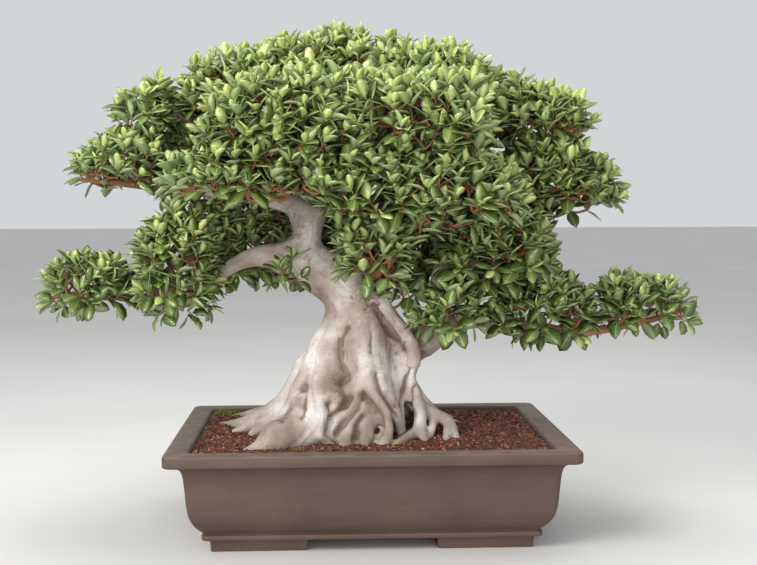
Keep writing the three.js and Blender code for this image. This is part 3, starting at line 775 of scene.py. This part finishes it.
def growth_of(places, routes):
    """For each place, the limb that it lies on: how thick it is there, and the place's own
    coordinates on it, two across the limb and one along it"""
    centres, girths, along, frames, number = [], [], [], [], []
    for index, route in enumerate(routes):
        line = np.array(route)
        tangent = np.gradient(line[:, :3], axis=0)
        tangent /= np.linalg.norm(tangent, axis=1)[:, None]
        side = np.cross(tangent, (0.31, 0.87, 0.38))
        side /= np.linalg.norm(side, axis=1)[:, None]
        length = np.concatenate([[0], np.cumsum(np.linalg.norm(np.diff(line[:, :3], axis=0), axis=1))])
        centres.append(line[:, :3])
        girths.append(line[:, 3])
        along.append(length + 0.37 * index)
        frames.append(np.stack([side, np.cross(tangent, side), tangent], axis=1))
        number.append(np.full(len(line), index))
    centres, girths = np.concatenate(centres), np.concatenate(girths)
    along, frames = np.concatenate(along), np.concatenate(frames)
    nearest = np.empty(len(places), int)
    for start in range(0, len(places), 4000):
        part = places[start:start + 4000]
        squares = (part ** 2).sum(1)[:, None] + (centres ** 2).sum(1)[None] - 2 * part @ centres.T
        reach = np.sqrt(np.maximum(squares, 0)) - girths[None]
        nearest[start:start + 4000] = reach.argmin(1)
    own = np.einsum("nij,nj->ni", frames[nearest], places - centres[nearest])
    own[:, 2] += along[nearest]
    return girths[nearest], own, np.concatenate(number)[nearest]


# Marks on the bark: place in millimetres from the pot's middle, spread, height and roughness
BARK_MARKS = [
    # Knobbly burl above the front root
    ((-52, -104, 226), 15, 9.0, 4.2),
    # Knot in the middle of the trunk
    ((5, -60, 277), 10, 1.5, 2.0),
    # Knobbly hollow under the neck
    ((8, -50, 372), 26, -1.5, 3.2),
    ((30, -42, 345), 16, -3.0, 2.6),
    ((-20, -52, 385), 16, 0.5, 3.0),
    # Pitted patch over the burl
    ((-58, -84, 252), 15, -2.0, 2.4),
    # Knuckle on the strand in front
    ((8, -100, 226), 12, 2.5, 1.8),
    # Knobbly burl at the top of the neck
    ((-128, -26, 498), 26, 2.0, 4.2),
    # Dark eye on the neck
    ((-100, -34, 442), 8, -2.5, 2.4),
    # Knobbly burl on the right limb
    ((236, -10, 338), 26, 1.5, 3.6),
]


# Furrows and ridges on the front: places in millimetres, as they show on the upright plane
# through the pot's middle, then width, height, and darkening, which is partly dirt and partly painted
# shade in the furrow
FRONT_LINES = [
    # Furrow between the left flank and the thigh
    ([(-35, 325), (-45, 309), (-48, 293), (-44, 270), (-36, 248), (-43, 233)], 6.0, -9.0, 0.8),
    # Scar down the thigh
    ([(3, 318), (2, 296), (3, 282)], 2.2, -2.6, 0.8),
    # Both sides of the aerial root
    ([(9, 363), (27, 334), (44, 309), (60, 296), (67, 277), (66, 254), (61, 232),
      (51, 196)], 5.0, -7.0, 0.6),
    ([(57, 341), (76, 318), (92, 293), (94, 275), (84, 248)], 4.5, -7.0, 0.7),
    # Notch at the end of the great root's foot
    ([(-65, 201), (-60, 184), (-65, 167), (-68, 148), (-60, 132)], 6.0, -13.0, 0.7),
    # Folds under the burl
    ([(-11, 214), (-19, 193), (-36, 174), (-53, 151), (-56, 135)], 5.5, -10.0, 0.6),
    ([(-31, 211), (-44, 193), (-60, 180)], 5.0, -9.0, 0.6),
    ([(-10, 177), (-17, 164), (-21, 139)], 5.5, -10.0, 0.5),
    # Both sides of the thigh's strand
    ([(-11, 217), (7, 195), (19, 177), (20, 155), (9, 135)], 5.5, -11.0, 0.5),
    ([(12, 248), (23, 219), (38, 195), (48, 176)], 6.0, -9.0, 0.3),
    # Both sides of the ridge on the left flank
    ([(-116, 230), (-129, 209), (-143, 169)], 6.0, -9.0, 0.3),
    ([(-109, 235), (-112, 212), (-106, 192), (-110, 180)], 7.5, -11.0, 0.5),
    # Inner side of the right root
    ([(77, 228), (67, 196), (72, 179)], 5.0, -8.0, 0.4),
    # Ridge on the left flank
    ([(-123, 222), (-135, 193), (-141, 174)], 7.0, 6.0, 0.0),
    # Belly of the thigh
    ([(-17, 309), (-13, 283), (-5, 257)], 20.0, 10.0, 0.0),
    # Strand of the thigh
    ([(-1, 232), (15, 203), (31, 184)], 9.0, 6.0, 0.0),
    # Knob and heel of the great root
    ([(-163, 158), (-145, 164)], 13.0, 8.0, 0.0),
    ([(-97, 180), (-78, 167)], 18.0, 7.0, 0.0),
    # Curl beside the aerial root
    ([(43, 305), (51, 300), (58, 303)], 5.0, 5.0, 0.0),
]


def seen_in_front(places):
    """Where places show from the camera, on the upright plane through the pot's middle"""
    eye = np.array(MIDDLE + CAMERA_PLACE)
    away = places - eye
    onto = eye + away * (MIDDLE.y - eye[1]) / away[:, 1:2]
    return (onto - np.array(MIDDLE))[:, [0, 2]] / MM


def line_distance(seen, line):
    """How far places are from a drawn line"""
    nearest = np.full(len(seen), 1e9)
    for start, end in zip(np.array(line, float), np.array(line, float)[1:]):
        run = end - start
        share = np.clip((seen - start) @ run / (run @ run), 0, 1)
        nearest = np.minimum(nearest, np.linalg.norm(seen - start - share[:, None] * run, axis=1))
    return nearest


def bark_height(place, own, girth):
    """How far the bark stands out at a place, in millimetres"""
    swell = 2.6 * noise.noise(place * 19)
    flute = 1.5 * noise.noise(Vector((own[0] * 95, own[1] * 95, own[2] * 11)))
    flute += 0.6 * noise.noise(Vector((own[0] * 210, own[1] * 210, own[2] * 26)))
    wrinkled = max(0, noise.noise(place * 14 + Vector((7, 3, 5))))
    ring = 0.55 * wrinkled * noise.noise(Vector((own[0] * 25, own[1] * 25, own[2] * 330)))
    fine = 0.35 * noise.noise(place * 190)
    height = (swell + flute) * min(1, girth / 0.03) + ring + fine
    for centre, spread, bulge, rough in BARK_MARKS:
        away = (place - MIDDLE - Vector(centre) * MM).length / (spread * MM)
        if away < 2.4:
            fade = math.exp(-away * away)
            knobs = noise.noise(place * 120) + 0.6 * noise.noise(place * 260)
            height += fade * (bulge + rough * knobs)
    return height


def fig_bark(name, mossy):
    """Pale smooth bark: cream to grey, browner and darker in its hollows and furrows, partly dirt and
    partly painted shade, streaked along the growth, with cracked rings and dark specks; young thin wood
    is red-brown"""
    bark = Finish(name, IOR=1.42)
    place = bark.place()
    own = bark.node("Attribute", {"attribute_name": "growth"}, {}, "Vector")
    mark = bark.node("Attribute", {"attribute_name": "mark"}, {}, "Color")
    crevice_dirt_and_shade = bark.node("SeparateColor", {}, {"Color": mark}, "Red")
    young = bark.node("SeparateColor", {}, {"Color": mark}, "Green")
    dirty = bark.node("SeparateColor", {}, {"Color": mark}, "Blue")
    broad = bark.grain(place, 13, 4)
    streak = bark.grain(bark.stretched(own, (1, 1, 0.14)), 120, 4, 0.6)
    rings = bark.grain(bark.stretched(own, (0.12, 0.12, 1)), 420, 3, 0.6)
    fine = bark.grain(place, 260, 4, 0.65)
    colour = bark.ramp(
        broad, (0.34, tint(134, 119, 107)), (0.5, tint(176, 163, 152)), (0.66, tint(224, 217, 211)),
    )
    colour = bark.mixed(0.5 * bark.between(streak, 0.5, 0.72), colour, tint(142, 122, 104))
    colour = bark.mixed(0.4 * bark.between(rings, 0.54, 0.74), colour, tint(122, 102, 84))
    colour = bark.mixed(0.45 * bark.between(fine, 0.55, 0.75), colour, tint(134, 114, 95))
    pitted = bark.between(bark.grain(place, 32, 3), 0.5, 0.62)
    pits = bark.between(bark.cells(place, 190), 0.2, 0.1) * pitted
    colour = bark.mixed(0.75 * pits, colour, tint(84, 64, 48))
    colour = bark.mixed(0.6 * dirty * bark.between(fine, 0.35, 0.6), colour, tint(118, 94, 72))
    # Hollows and furrows darken to brown: partly dirt, partly painted shade.
    colour = bark.mixed(bark.between(crevice_dirt_and_shade, 0.0, 1.0) * 0.6, colour, tint(128, 103, 82))
    colour = bark.mixed(bark.between(crevice_dirt_and_shade + 0.5 * fine, 0.7, 1.6) * 0.7, colour, tint(84, 62, 46))
    red = bark.mixed(streak, tint(120, 76, 50), tint(172, 120, 84))
    colour = bark.mixed(young, colour, red)
    if mossy:
        height = bark.node("SeparateXYZ", {}, {"Vector": place}, "Z")
        near_soil = bark.between(height + 0.03 * bark.grain(place, 45, 4), 0.192, 0.162)
        damp = near_soil * bark.between(bark.grain(place, 30, 4), 0.4, 0.62)
        colour = bark.mixed(0.5 * damp, colour, tint(126, 126, 74))
        colour = bark.mixed(0.5 * near_soil * bark.between(fine, 0.45, 0.65), colour, tint(120, 92, 70))
    relief = 0.5 * fine + 0.35 * rings + 0.35 * streak - 0.5 * pits
    return bark.paint(colour, 0.74 + 0.14 * fine, relief, 0.0012, 0.55)


def mark_bark(mesh, crevice_dirt_and_shade, young, dirty, own):
    """Keeps on a mesh what its bark is painted by"""
    marks = np.stack([crevice_dirt_and_shade, young, dirty, np.ones(len(crevice_dirt_and_shade))], axis=1)
    mesh.attributes.new("mark", "FLOAT_COLOR", "POINT").data.foreach_set("color", marks.ravel())
    mesh.attributes.new("growth", "FLOAT_VECTOR", "POINT").data.foreach_set("vector", own.ravel())


def youth(girth):
    """0 on old wood and 1 on thin red-brown wood"""
    return np.clip((YOUNG_GIRTH - girth) / YOUNG_FADE, 0, 1)


wood = [in_metres(route) for route in (TRUNK, *ROOTS)]
limbs = [in_metres(route) for route in LIMBS]
stout = [[station for station in route if station[3] > THICK] for route in limbs]
stout = [route for route in stout if len(route) > 2]
slender = []
for route in limbs:
    thin = [station for station in route if station[3] <= 1.06 * THICK]
    if len(thin) > 1:
        slender.append([(x, y, z, min(radius, THICK) * 0.97) for x, y, z, radius in thin])

raw = loose_object("trunk_rounds", round_limbs("trunk_rounds", wood + stout, 20))
melt = raw.modifiers.new("melt", "REMESH")
melt.mode = "VOXEL"
melt.voxel_size = BARK_VOXEL
trunk_mesh = baked_mesh(raw, "trunk_wood")
places = mesh_places(trunk_mesh)
edges = mesh_edges(trunk_mesh)
routes = wood + stout
girth, own, _ = growth_of(places, routes)
share = np.clip((girth - 0.004) / 0.04, 0.08, 0.6)[:, None]
places = smoothed(places, edges, MELT_ROUNDS, share)
move_places(trunk_mesh, places)
# Creases where the strands fused, later darkened as dirt and painted shade.
seam_dirt_and_shade = sunk(places, edges, mesh_places(trunk_mesh, "normal"), 6) / (1.2 * MM)
for _ in range(FUSE_PASSES):
    fill = np.clip((places[:, 2] - 0.2) / 0.06, 0.04, 1)
    places = fused(places, edges, mesh_places(trunk_mesh, "normal"), FUSE_ROUNDS, fill)
    places = smoothed(places, edges, 1, 0.4)
    move_places(trunk_mesh, places)
normals = mesh_places(trunk_mesh, "normal")
heights = np.array([
    bark_height(Vector(place), line, thick) for place, line, thick in zip(places, own, girth)
])
seen = seen_in_front(places)
faces_front = np.clip((0.3 - normals[:, 1]) / 0.5, 0, 1)
wander = np.array([noise.noise(Vector(place) * 70) for place in places])
furrow_dirt_and_shade = np.zeros(len(places))
for line, width, height, dirt_and_shade in FRONT_LINES:
    away = np.maximum(line_distance(seen, line) + 3 * wander, 0)
    reach = np.exp(-(away / width) ** 2) * faces_front
    heights += height * reach
    # Furrows are darkened here: partly dirt, partly painted shade.
    furrow_dirt_and_shade = np.maximum(furrow_dirt_and_shade, 0.35 * dirt_and_shade * reach ** 3 * np.clip(0.6 + 2 * wander, 0, 1))
places = places + MM * heights[:, None] * normals
places = smoothed(places, edges, 1, 0.3)
move_places(trunk_mesh, places)
normals = mesh_places(trunk_mesh, "normal")
# How sunk each place is, for the bark's darkening in hollows: partly dirt, partly painted shade.
crevice_dirt_and_shade = sunk(places, edges, normals, 14) / (2.6 * MM)
crevice_dirt_and_shade += sunk(places, edges, normals, 3) / (1.0 * MM)
crevice_dirt_and_shade += 0.35 * np.clip(seam_dirt_and_shade, 0, 1)
dirty = np.zeros(len(places))
for centre, spread, _, rough in BARK_MARKS:
    away = np.linalg.norm(places - np.array(MIDDLE) - np.array(centre) * MM, axis=1) / (spread * MM)
    dirty = np.maximum(dirty, np.exp(-0.6 * away ** 2) * min(1, rough / 2))
limb_part = np.clip((places[:, 2] - 0.28) / 0.03, 0, 1)
mark_bark(trunk_mesh, np.clip(crevice_dirt_and_shade + furrow_dirt_and_shade, 0, 1), youth(girth) * limb_part, dirty, own)
trunk_mesh.shade_smooth()
place_piece("trunk_wood", trunk_mesh, fig_bark("trunk_bark", True), "bark", "trunk")

# Slender limbs
# The same living wood, where it thins to red-brown branches that run out under the leaf layers.
limb_mesh = round_limbs("slender_limbs", slender, 10)
places = mesh_places(limb_mesh)
girth, own, _ = growth_of(places, slender)
knots = np.array([noise.noise(Vector(place) * 60) for place in places])
places = places + mesh_places(limb_mesh, "normal") * (girth * 0.22 * knots)[:, None]
move_places(limb_mesh, places)
zero = np.zeros(len(places))
mark_bark(limb_mesh, zero, youth(girth), zero, own)
limb_mesh.shade_smooth()
limb_bark = fig_bark("limb_bark", False)
place_piece("slender_limbs", limb_mesh, limb_bark, "bark", "trunk")


# Leaves and twigs
# Leathery, glossy, pointed oval leaves of 20 to 40 mm stand round the tips of short twigs. The
# youngest at each tip are small and yellow-green, and the older ones dark with paler undersides.
# Leaves high in the crown and on the tops of sprays are also painted yellower, as painted light from
# above, and those low down and underneath darker, as painted shade.
# Stations from stalk to tip: distance along the leaf and half width, as shares
LEAF_OUTLINE = [(0, 0), (0.11, 0.07), (0.28, 0.72), (0.54, 1.0), (0.82, 0.68), (1, 0)]
LEAF_THICKNESS = 0.5 * MM
# Width, fold along the midrib in degrees, and how far the tip bends back, as shares of the length
LEAF_KINDS = [
    (0.58, 12, 0.10), (0.62, 18, 0.22), (0.54, 22, 0.05), (0.60, 8, 0.30), (0.52, 14, 0.16),
]
LOW_SHARE = 0.3
SHOOT_INSET = 45 * MM
SHOOT_SPACING = 18.5 * MM
SHOOT_TRIES = 1500
SHOOT_LENGTH = (12 * MM, 28 * MM)
# Power of a spray's rounded outline, and how much of it is lost where the spray points outwards
FULL_POWER = 5.5
POINTED_POWER = 3.7
# A shoot this near to another spray starts further out, by a share of the inset
MEETING_REACH = 35 * MM
MEETING_SHARE = 0.26
# Where the underside of a spray begins, the share of it that is bare, and the same for the sprays
# whose middle lies lower than the low layer's height in metres
UNDERSIDE = -0.3
BARE_SHARE = 0.75
LOW_BARE_SHARE = 0.35
LOW_LAYER = 0.44
TWIG_RADIUS = 1.15 * MM
LEAF_SEED = 1893
# Height in metres from which the leaves are painted brighter, as painted light from above, up to the top
# of the crown
CANOPY_FOOT = 0.35
# Small sprays between the named ones: centre and half sizes in millimetres, from the pot's middle
BETWEEN = {
    "crown_left": (-158, 10, 752, 40, 70, 28),
    "crown_right": (48, 10, 764, 36, 70, 26),
    "front": (62, -60, 396, 40, 38, 34),
}
LEAF_LENGTHS = (40 * MM, 24 * MM)
TREE_HEART = MIDDLE + Vector((-40, 0, 500)) * MM
GOLDEN_TURN = math.radians(137.5)


def leaf_shape(number, width, fold, bend):
    """A leaf of unit length along +Y with its face up: a grid drawn to the leaf's outline, and
    its back turned under and joined along the margin"""
    bm = bmesh.new()
    rows = len(LEAF_OUTLINE)
    bmesh.ops.create_grid(bm, x_segments=2, y_segments=rows - 1, size=0.5)
    blade = bm.loops.layers.uv.new("blade")
    for face in bm.faces:
        for loop in face.loops:
            loop[blade].uv = (loop.vert.co.x * 0.5 + 0.25, loop.vert.co.y + 0.5)
    for vert in bm.verts:
        along, half = LEAF_OUTLINE[round((vert.co.y + 0.5) * (rows - 1))]
        across = 2 * vert.co.x * half * width / 2
        rise = abs(across) * math.tan(math.radians(fold))
        ripple = 0.012 * math.sin(9 * along + number) * (1 if vert.co.x > 0 else -1) * abs(2 * vert.co.x)
        vert.co = (across, along, rise + ripple * half - bend * along ** 2 + 0.06 * along)
    back = bmesh.ops.duplicate(bm, geom=bm.faces[:])["geom"]
    under = [part for part in back if isinstance(part, bmesh.types.BMFace)]
    bmesh.ops.reverse_faces(bm, faces=under)
    for face in under:
        for loop in face.loops:
            loop[blade].uv.x += 0.5
    for vert in {vert for face in under for vert in face.verts if not vert.is_boundary}:
        vert.co.z -= LEAF_THICKNESS / 0.036
    bmesh.ops.remove_doubles(bm, verts=bm.verts, dist=1e-5)
    mesh = into_mesh(bm, f"leaf_{number}")
    mesh.attributes.new("tone", "FLOAT_COLOR", "POINT")
    return mesh


def leaf_finish():
    """Waxy green with a pale midrib and fine side veins, paler and duller on the back"""
    leaf = Finish("leaf", IOR=1.5, Specular_IOR_Level=0.85)
    blade = leaf.node("UVMap", {"uv_map": "blade"}, {}, "UV")
    across = leaf.node("SeparateXYZ", {}, {"Vector": blade}, "X")
    along = leaf.node("SeparateXYZ", {}, {"Vector": blade}, "Y")
    back = leaf.between(across, 0.499, 0.501)
    side = leaf.node("Math", {"operation": "ABSOLUTE"}, {0: (across - 0.25 - 0.5 * back) * 4})
    tone = leaf.node("Attribute", {"attribute_name": "tone"}, {}, "Color")
    young = leaf.node("SeparateColor", {}, {"Color": tone}, "Red")
    chance = leaf.node("SeparateColor", {}, {"Color": tone}, "Green")
    shade = leaf.node("SeparateColor", {}, {"Color": tone}, "Blue")
    old = leaf.mixed(chance, tint(84, 106, 46), tint(130, 148, 70))
    # Leaves low in the crown and under sprays are darkened and greyed: painted shade.
    old = leaf.mixed(shade * 0.5, old, tint(78, 98, 56))
    fresh = leaf.mixed(chance, tint(172, 194, 94), tint(212, 224, 146))
    colour = leaf.mixed(young, old, fresh)
    vein = leaf.node("Math", {"operation": "SINE"}, {0: (along - side * 0.22) * 75})
    colour = leaf.mixed(0.14 * leaf.between(vein, 0.7, 1.0), colour, tint(184, 202, 120))
    midrib = leaf.between(side, 0.13, 0.04)
    colour = leaf.mixed(0.42 * midrib, colour, tint(196, 208, 132))
    pale = leaf.mixed(young, tint(150, 166, 112), tint(190, 206, 120))
    colour = leaf.mixed(0.8 * back, colour, pale)
    stalk = leaf.between(along, 0.2, 0.12)
    colour = leaf.mixed(stalk, colour, tint(150, 128, 64))
    blotch = leaf.grain(leaf.place(), 110, 3)
    colour = leaf.mixed(0.22 * leaf.between(blotch, 0.5, 0.75), colour, tint(86, 104, 42))
    gloss = 0.17 + 0.34 * back + 0.12 * blotch
    relief = midrib * 0.6 + 0.2 * vein
    return leaf.paint(colour, gloss, relief, 0.0004, 0.6)


def facing(heading, towards):
    """A turn that points +Y along heading and +Z as near to towards as it goes"""
    ahead = heading.normalized()
    across = ahead.cross(towards).normalized()
    up = across.cross(ahead)
    return Matrix((across, ahead, up)).transposed().to_4x4()


def spray_outline(low, high):
    """Centre of a leafy spray, and its half sizes above and below the centre"""
    centre = (low + high) / 2
    centre.z = low.z + LOW_SHARE * (high.z - low.z)
    return centre, Vector((high.x - centre.x, high.y - centre.y, high.z - centre.z)), centre.z - low.z


def spray_place(way, centre, half, below, outward):
    """A place on a spray's shell: full towards the tree's heart, and pointed away from it"""
    ahead = way.dot(outward)
    power = FULL_POWER - POINTED_POWER * max(0, ahead) ** 1.2
    size = sum(abs(part) ** power for part in way) ** (1 / power)
    inset = SHOOT_INSET * (0.6 + 0.4 * min(1, max(0, 0.5 + 1.5 * ahead)))
    wide, deep = max(half.x - inset, 0.01), max(half.y - inset, 0.01)
    tall = max(half.z - inset, 0.01) if way.z > 0 else max(below - 0.4 * SHOOT_INSET, 0.006)
    return centre + Vector((way.x * wide, way.y * deep, way.z * tall)) / size


def inside_any(place, boxes):
    return any(all(low[axis] < place[axis] < high[axis] for axis in range(3)) for low, high in boxes)


def shoot_bases(low, high, others, taken, dice):
    """Where the shoots of a spray start, and where they point: spread evenly over a shell that
    lies a shoot's reach inside the spray's outline, further out where it meets another spray,
    and fewer on its underside. The lowest sprays hang below their limb"""
    centre, half, below = spray_outline(low, high)
    hangs = centre.z < LOW_LAYER
    outward = (centre - TREE_HEART).normalized()
    bases = []
    for _ in range(SHOOT_TRIES):
        way = Vector((dice.gauss(0, 1), dice.gauss(0, 1), dice.gauss(0, 1))).normalized()
        depth = 1 - 0.3 * dice.random() ** 2
        ruffle = 1 + 0.12 * noise.noise(way * 2.2 + centre * 9)
        place = centre + depth * ruffle * (spray_place(way, centre, half, below, outward) - centre)
        if inside_any(place + MEETING_REACH * way, others):
            place += MEETING_SHARE * SHOOT_INSET * way
        if way.z < UNDERSIDE and dice.random() < (LOW_BARE_SHARE if hangs else BARE_SHARE):
            continue
        room = SHOOT_SPACING * (1.5 if way.z < UNDERSIDE else 1)
        if taken and np.min(np.linalg.norm(np.array(taken) - np.array(place), axis=1)) < room:
            continue
        taken.append(tuple(place))
        tall = half.z if way.z > 0 else below
        out = Vector((way.x / half.x, way.y / half.y, way.z / tall)).normalized()
        loose = Vector((dice.gauss(0, 1), dice.gauss(0, 1), dice.gauss(0, 1))) * 0.28
        if way.z < 0:
            out.z *= 0.8 if hangs else 0.25
        heading = (out + Vector((0, 0, 0.45 if hangs and way.z < 0 else 0.75)) + loose).normalized()
        heading.z = max(heading.z, -0.5 if hangs else -0.1)
        bases.append((place, heading, way.z))
    return bases


def grow_twigs(bases, anchors):
    """Joins the shoots' bases to the limbs: each takes the nearest wood that is already joined,
    and wood that carries more shoots is thicker"""
    places = [Vector(anchor[:3]) for anchor in anchors]
    parents = [None] * len(places)
    reach = {
        index: min((base[0] - place).length for place in places) for index, base in enumerate(bases)
    }
    joined = []
    for index in sorted(reach, key=reach.get):
        place = bases[index][0]
        nearest = min(range(len(places)), key=lambda i: (places[i] - place).length)
        sag = Vector((0, 0, -0.12 * (places[nearest] - place).length))
        middle = places[nearest].lerp(place, 0.55) + sag
        places.append(middle)
        parents.append(nearest)
        places.append(place)
        parents.append(len(places) - 2)
        joined.append(len(places) - 1)
    carried = [0] * len(places)
    for end in joined:
        while end is not None:
            carried[end] += 1
            end = parents[end]
    routes = []
    for index in range(len(anchors), len(places)):
        parent = parents[index]
        radius = TWIG_RADIUS * carried[index] ** 0.36
        thicker = TWIG_RADIUS * carried[parent] ** 0.36 if parent >= len(anchors) else 1.25 * radius
        bend = places[parent].lerp(places[index], 0.5)
        bend += 0.1 * (places[parent] - places[index]).length * Vector(noise.noise_vector(bend * 50))
        routes.append([
            (*places[parent], min(thicker, 1.4 * radius)),
            (*bend, 1.08 * radius),
            (*places[index], radius),
        ])
    return routes


dice = random.Random(LEAF_SEED)
noise.seed_set(LEAF_SEED)
leaf_shapes = [leaf_shape(number, *kind) for number, kind in enumerate(LEAF_KINDS)]
green = leaf_finish()
anchors = [station for route in limbs for station in route]
thick_wood = np.array([station for route in wood + limbs for station in route if station[3] > 9 * MM])
twigs = []
canopy_top = cad_box[1][2]
leaf_total = 0
taken = []
sprays = {
    node.removeprefix("leaves_"): (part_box(node), node) for node in sorted(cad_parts)
    if node.startswith("leaves_")
}
boxes = [box for box, _ in sprays.values()]
for name, (x, y, z, *half) in BETWEEN.items():
    place = MIDDLE + Vector((x, y, z)) * MM
    sprays["between_" + name] = ((place - Vector(half) * MM, place + Vector(half) * MM), None)
for name, ((low, high), node) in sprays.items():
    centre = (low + high) / 2
    near = [
        station for station in anchors
        if all(low[axis] - 0.01 < station[axis] < high[axis] + 0.01 for axis in range(3))
    ]
    others = [box for box in boxes if box[0] != low]
    bases = shoot_bases(low, high, others, taken, dice)
    near = near or [min(anchors, key=lambda station: (Vector(station[:3]) - centre).length)]
    twigs += grow_twigs(bases, near)
    bm = bmesh.new()
    for base, heading, height in bases:
        length = dice.uniform(*SHOOT_LENGTH)
        bow = Vector((dice.gauss(0, 1), dice.gauss(0, 1), 0.5)) * 0.12 * length
        tip = base + heading * length
        twigs.append([
            (*base, 0.95 * TWIG_RADIUS),
            (*(base.lerp(tip, 0.55) + bow), 0.8 * TWIG_RADIUS),
            (*tip, 0.2 * MM),
        ])
        leaves = dice.randint(5, 7)
        turn = dice.uniform(0, math.tau)
        # Sunny shoots, high in the crown and on a spray's top, get painted light (yellower leaves), and
        # the rest painted shade.
        sunny = 0.55 * (base.z - CANOPY_FOOT) / (canopy_top - CANOPY_FOOT) + 0.25 * height
        freshness = dice.random()
        for number in range(leaves):
            share = number / (leaves - 1)
            turn += GOLDEN_TURN + dice.gauss(0, 0.25)
            stem = base.lerp(tip, 0.12 + 0.88 * share) + bow * math.sin(math.pi * share) * 0.9
            spread = math.radians(72 - 50 * share + dice.gauss(0, 8))
            aside = Matrix.Rotation(turn, 3, heading) @ heading.orthogonal().normalized()
            ahead = heading * math.cos(spread) + aside * math.sin(spread) + Vector((0, 0, 0.12))
            size = LEAF_LENGTHS[0] + (LEAF_LENGTHS[1] - LEAF_LENGTHS[0]) * share ** 1.6
            size *= dice.uniform(0.82, 1.12)
            middle = np.array(stem + ahead.normalized() * size * 0.55)
            gap = np.linalg.norm(thick_wood[:, :3] - middle, axis=1) - thick_wood[:, 3]
            if gap.min() < 1 * MM:
                continue
            astray = Vector((dice.gauss(0, 1), dice.gauss(0, 1), 0)) * 0.2
            towards = heading * 0.7 + Vector((0, 0, 0.75)) + astray
            placing = Matrix.Translation(stem) @ facing(ahead, towards) @ Matrix.Scale(size, 4)
            young = 1.5 * (share - 0.45) * (0.5 + freshness) + 0.9 * sunny - 0.25 + dice.gauss(0, 0.08)
            young = max(0, min(1, young))
            shaded = max(0, min(1, 0.75 - 1.3 * sunny + dice.gauss(0, 0.12)))
            add_copy(bm, dice.choice(leaf_shapes), placing, (young, dice.random(), shaded))
            leaf_total += 1
    piece_name = "foliage_" + name
    place_piece(piece_name, into_mesh(bm, piece_name), green, "foliage", *([node] if node else []))
print("leaves", leaf_total, "twigs", len(twigs))

twig_mesh = round_limbs("twigs", twigs, 4)
places = mesh_places(twig_mesh)
ones = np.ones(len(places))
mark_bark(twig_mesh, 0 * ones, ones, 0 * ones, places)
twig_mesh.shade_smooth()
place_piece("twigs", twig_mesh, limb_bark, "bark")


# Floor and light
# A plain pale floor under a soft studio light from above and in front.
bm = bmesh.new()
bmesh.ops.create_grid(bm, x_segments=1, y_segments=1, size=1)
bmesh.ops.scale(bm, vec=(30, 30, 1), verts=bm.verts)
floor_finish = Finish("floor")
floor_cloud = floor_finish.grain(floor_finish.place(), 1.5, 2)
floor_shade = floor_finish.ramp(floor_cloud, (0.3, tint(206, 204, 201)), (0.7, tint(212, 210, 207)))
floor_mesh = into_mesh(bm, "floor")
floor_mesh.materials.append(floor_finish.paint(floor_shade, 0.8))
floor = loose_object("floor", floor_mesh)
floor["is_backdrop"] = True


def soft_light(name, place, aim, size, power):
    lamp = bpy.data.lights.new(name, "AREA")
    lamp.shape = "RECTANGLE"
    lamp.size, lamp.size_y = size
    lamp.energy = power
    holder = loose_object(name, lamp)
    holder.location = place
    holder.rotation_euler = (Vector(aim) - Vector(place)).to_track_quat("-Z", "Y").to_euler()


soft_light("key_light", (-1.6, -1.7, 1.7), (0, 0, 0.45), (1.3, 1.3), 62)
soft_light("top_light", (0.3, 0.4, 2.6), (0, 0, 0.6), (1.8, 1.8), 34)
soft_light("front_light", (0.3, -3.0, 0.6), (0, 0, 0.45), (2.0, 1.2), 34)
world = bpy.data.worlds.new("studio")
scene.world = world
world.use_nodes = True
world.node_tree.nodes["Background"].inputs["Color"].default_value = (0.86, 0.88, 0.9, 1)
world.node_tree.nodes["Background"].inputs["Strength"].default_value = 0.75

visual_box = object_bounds()
boxes = {"cad": cad_box, "visual": visual_box}
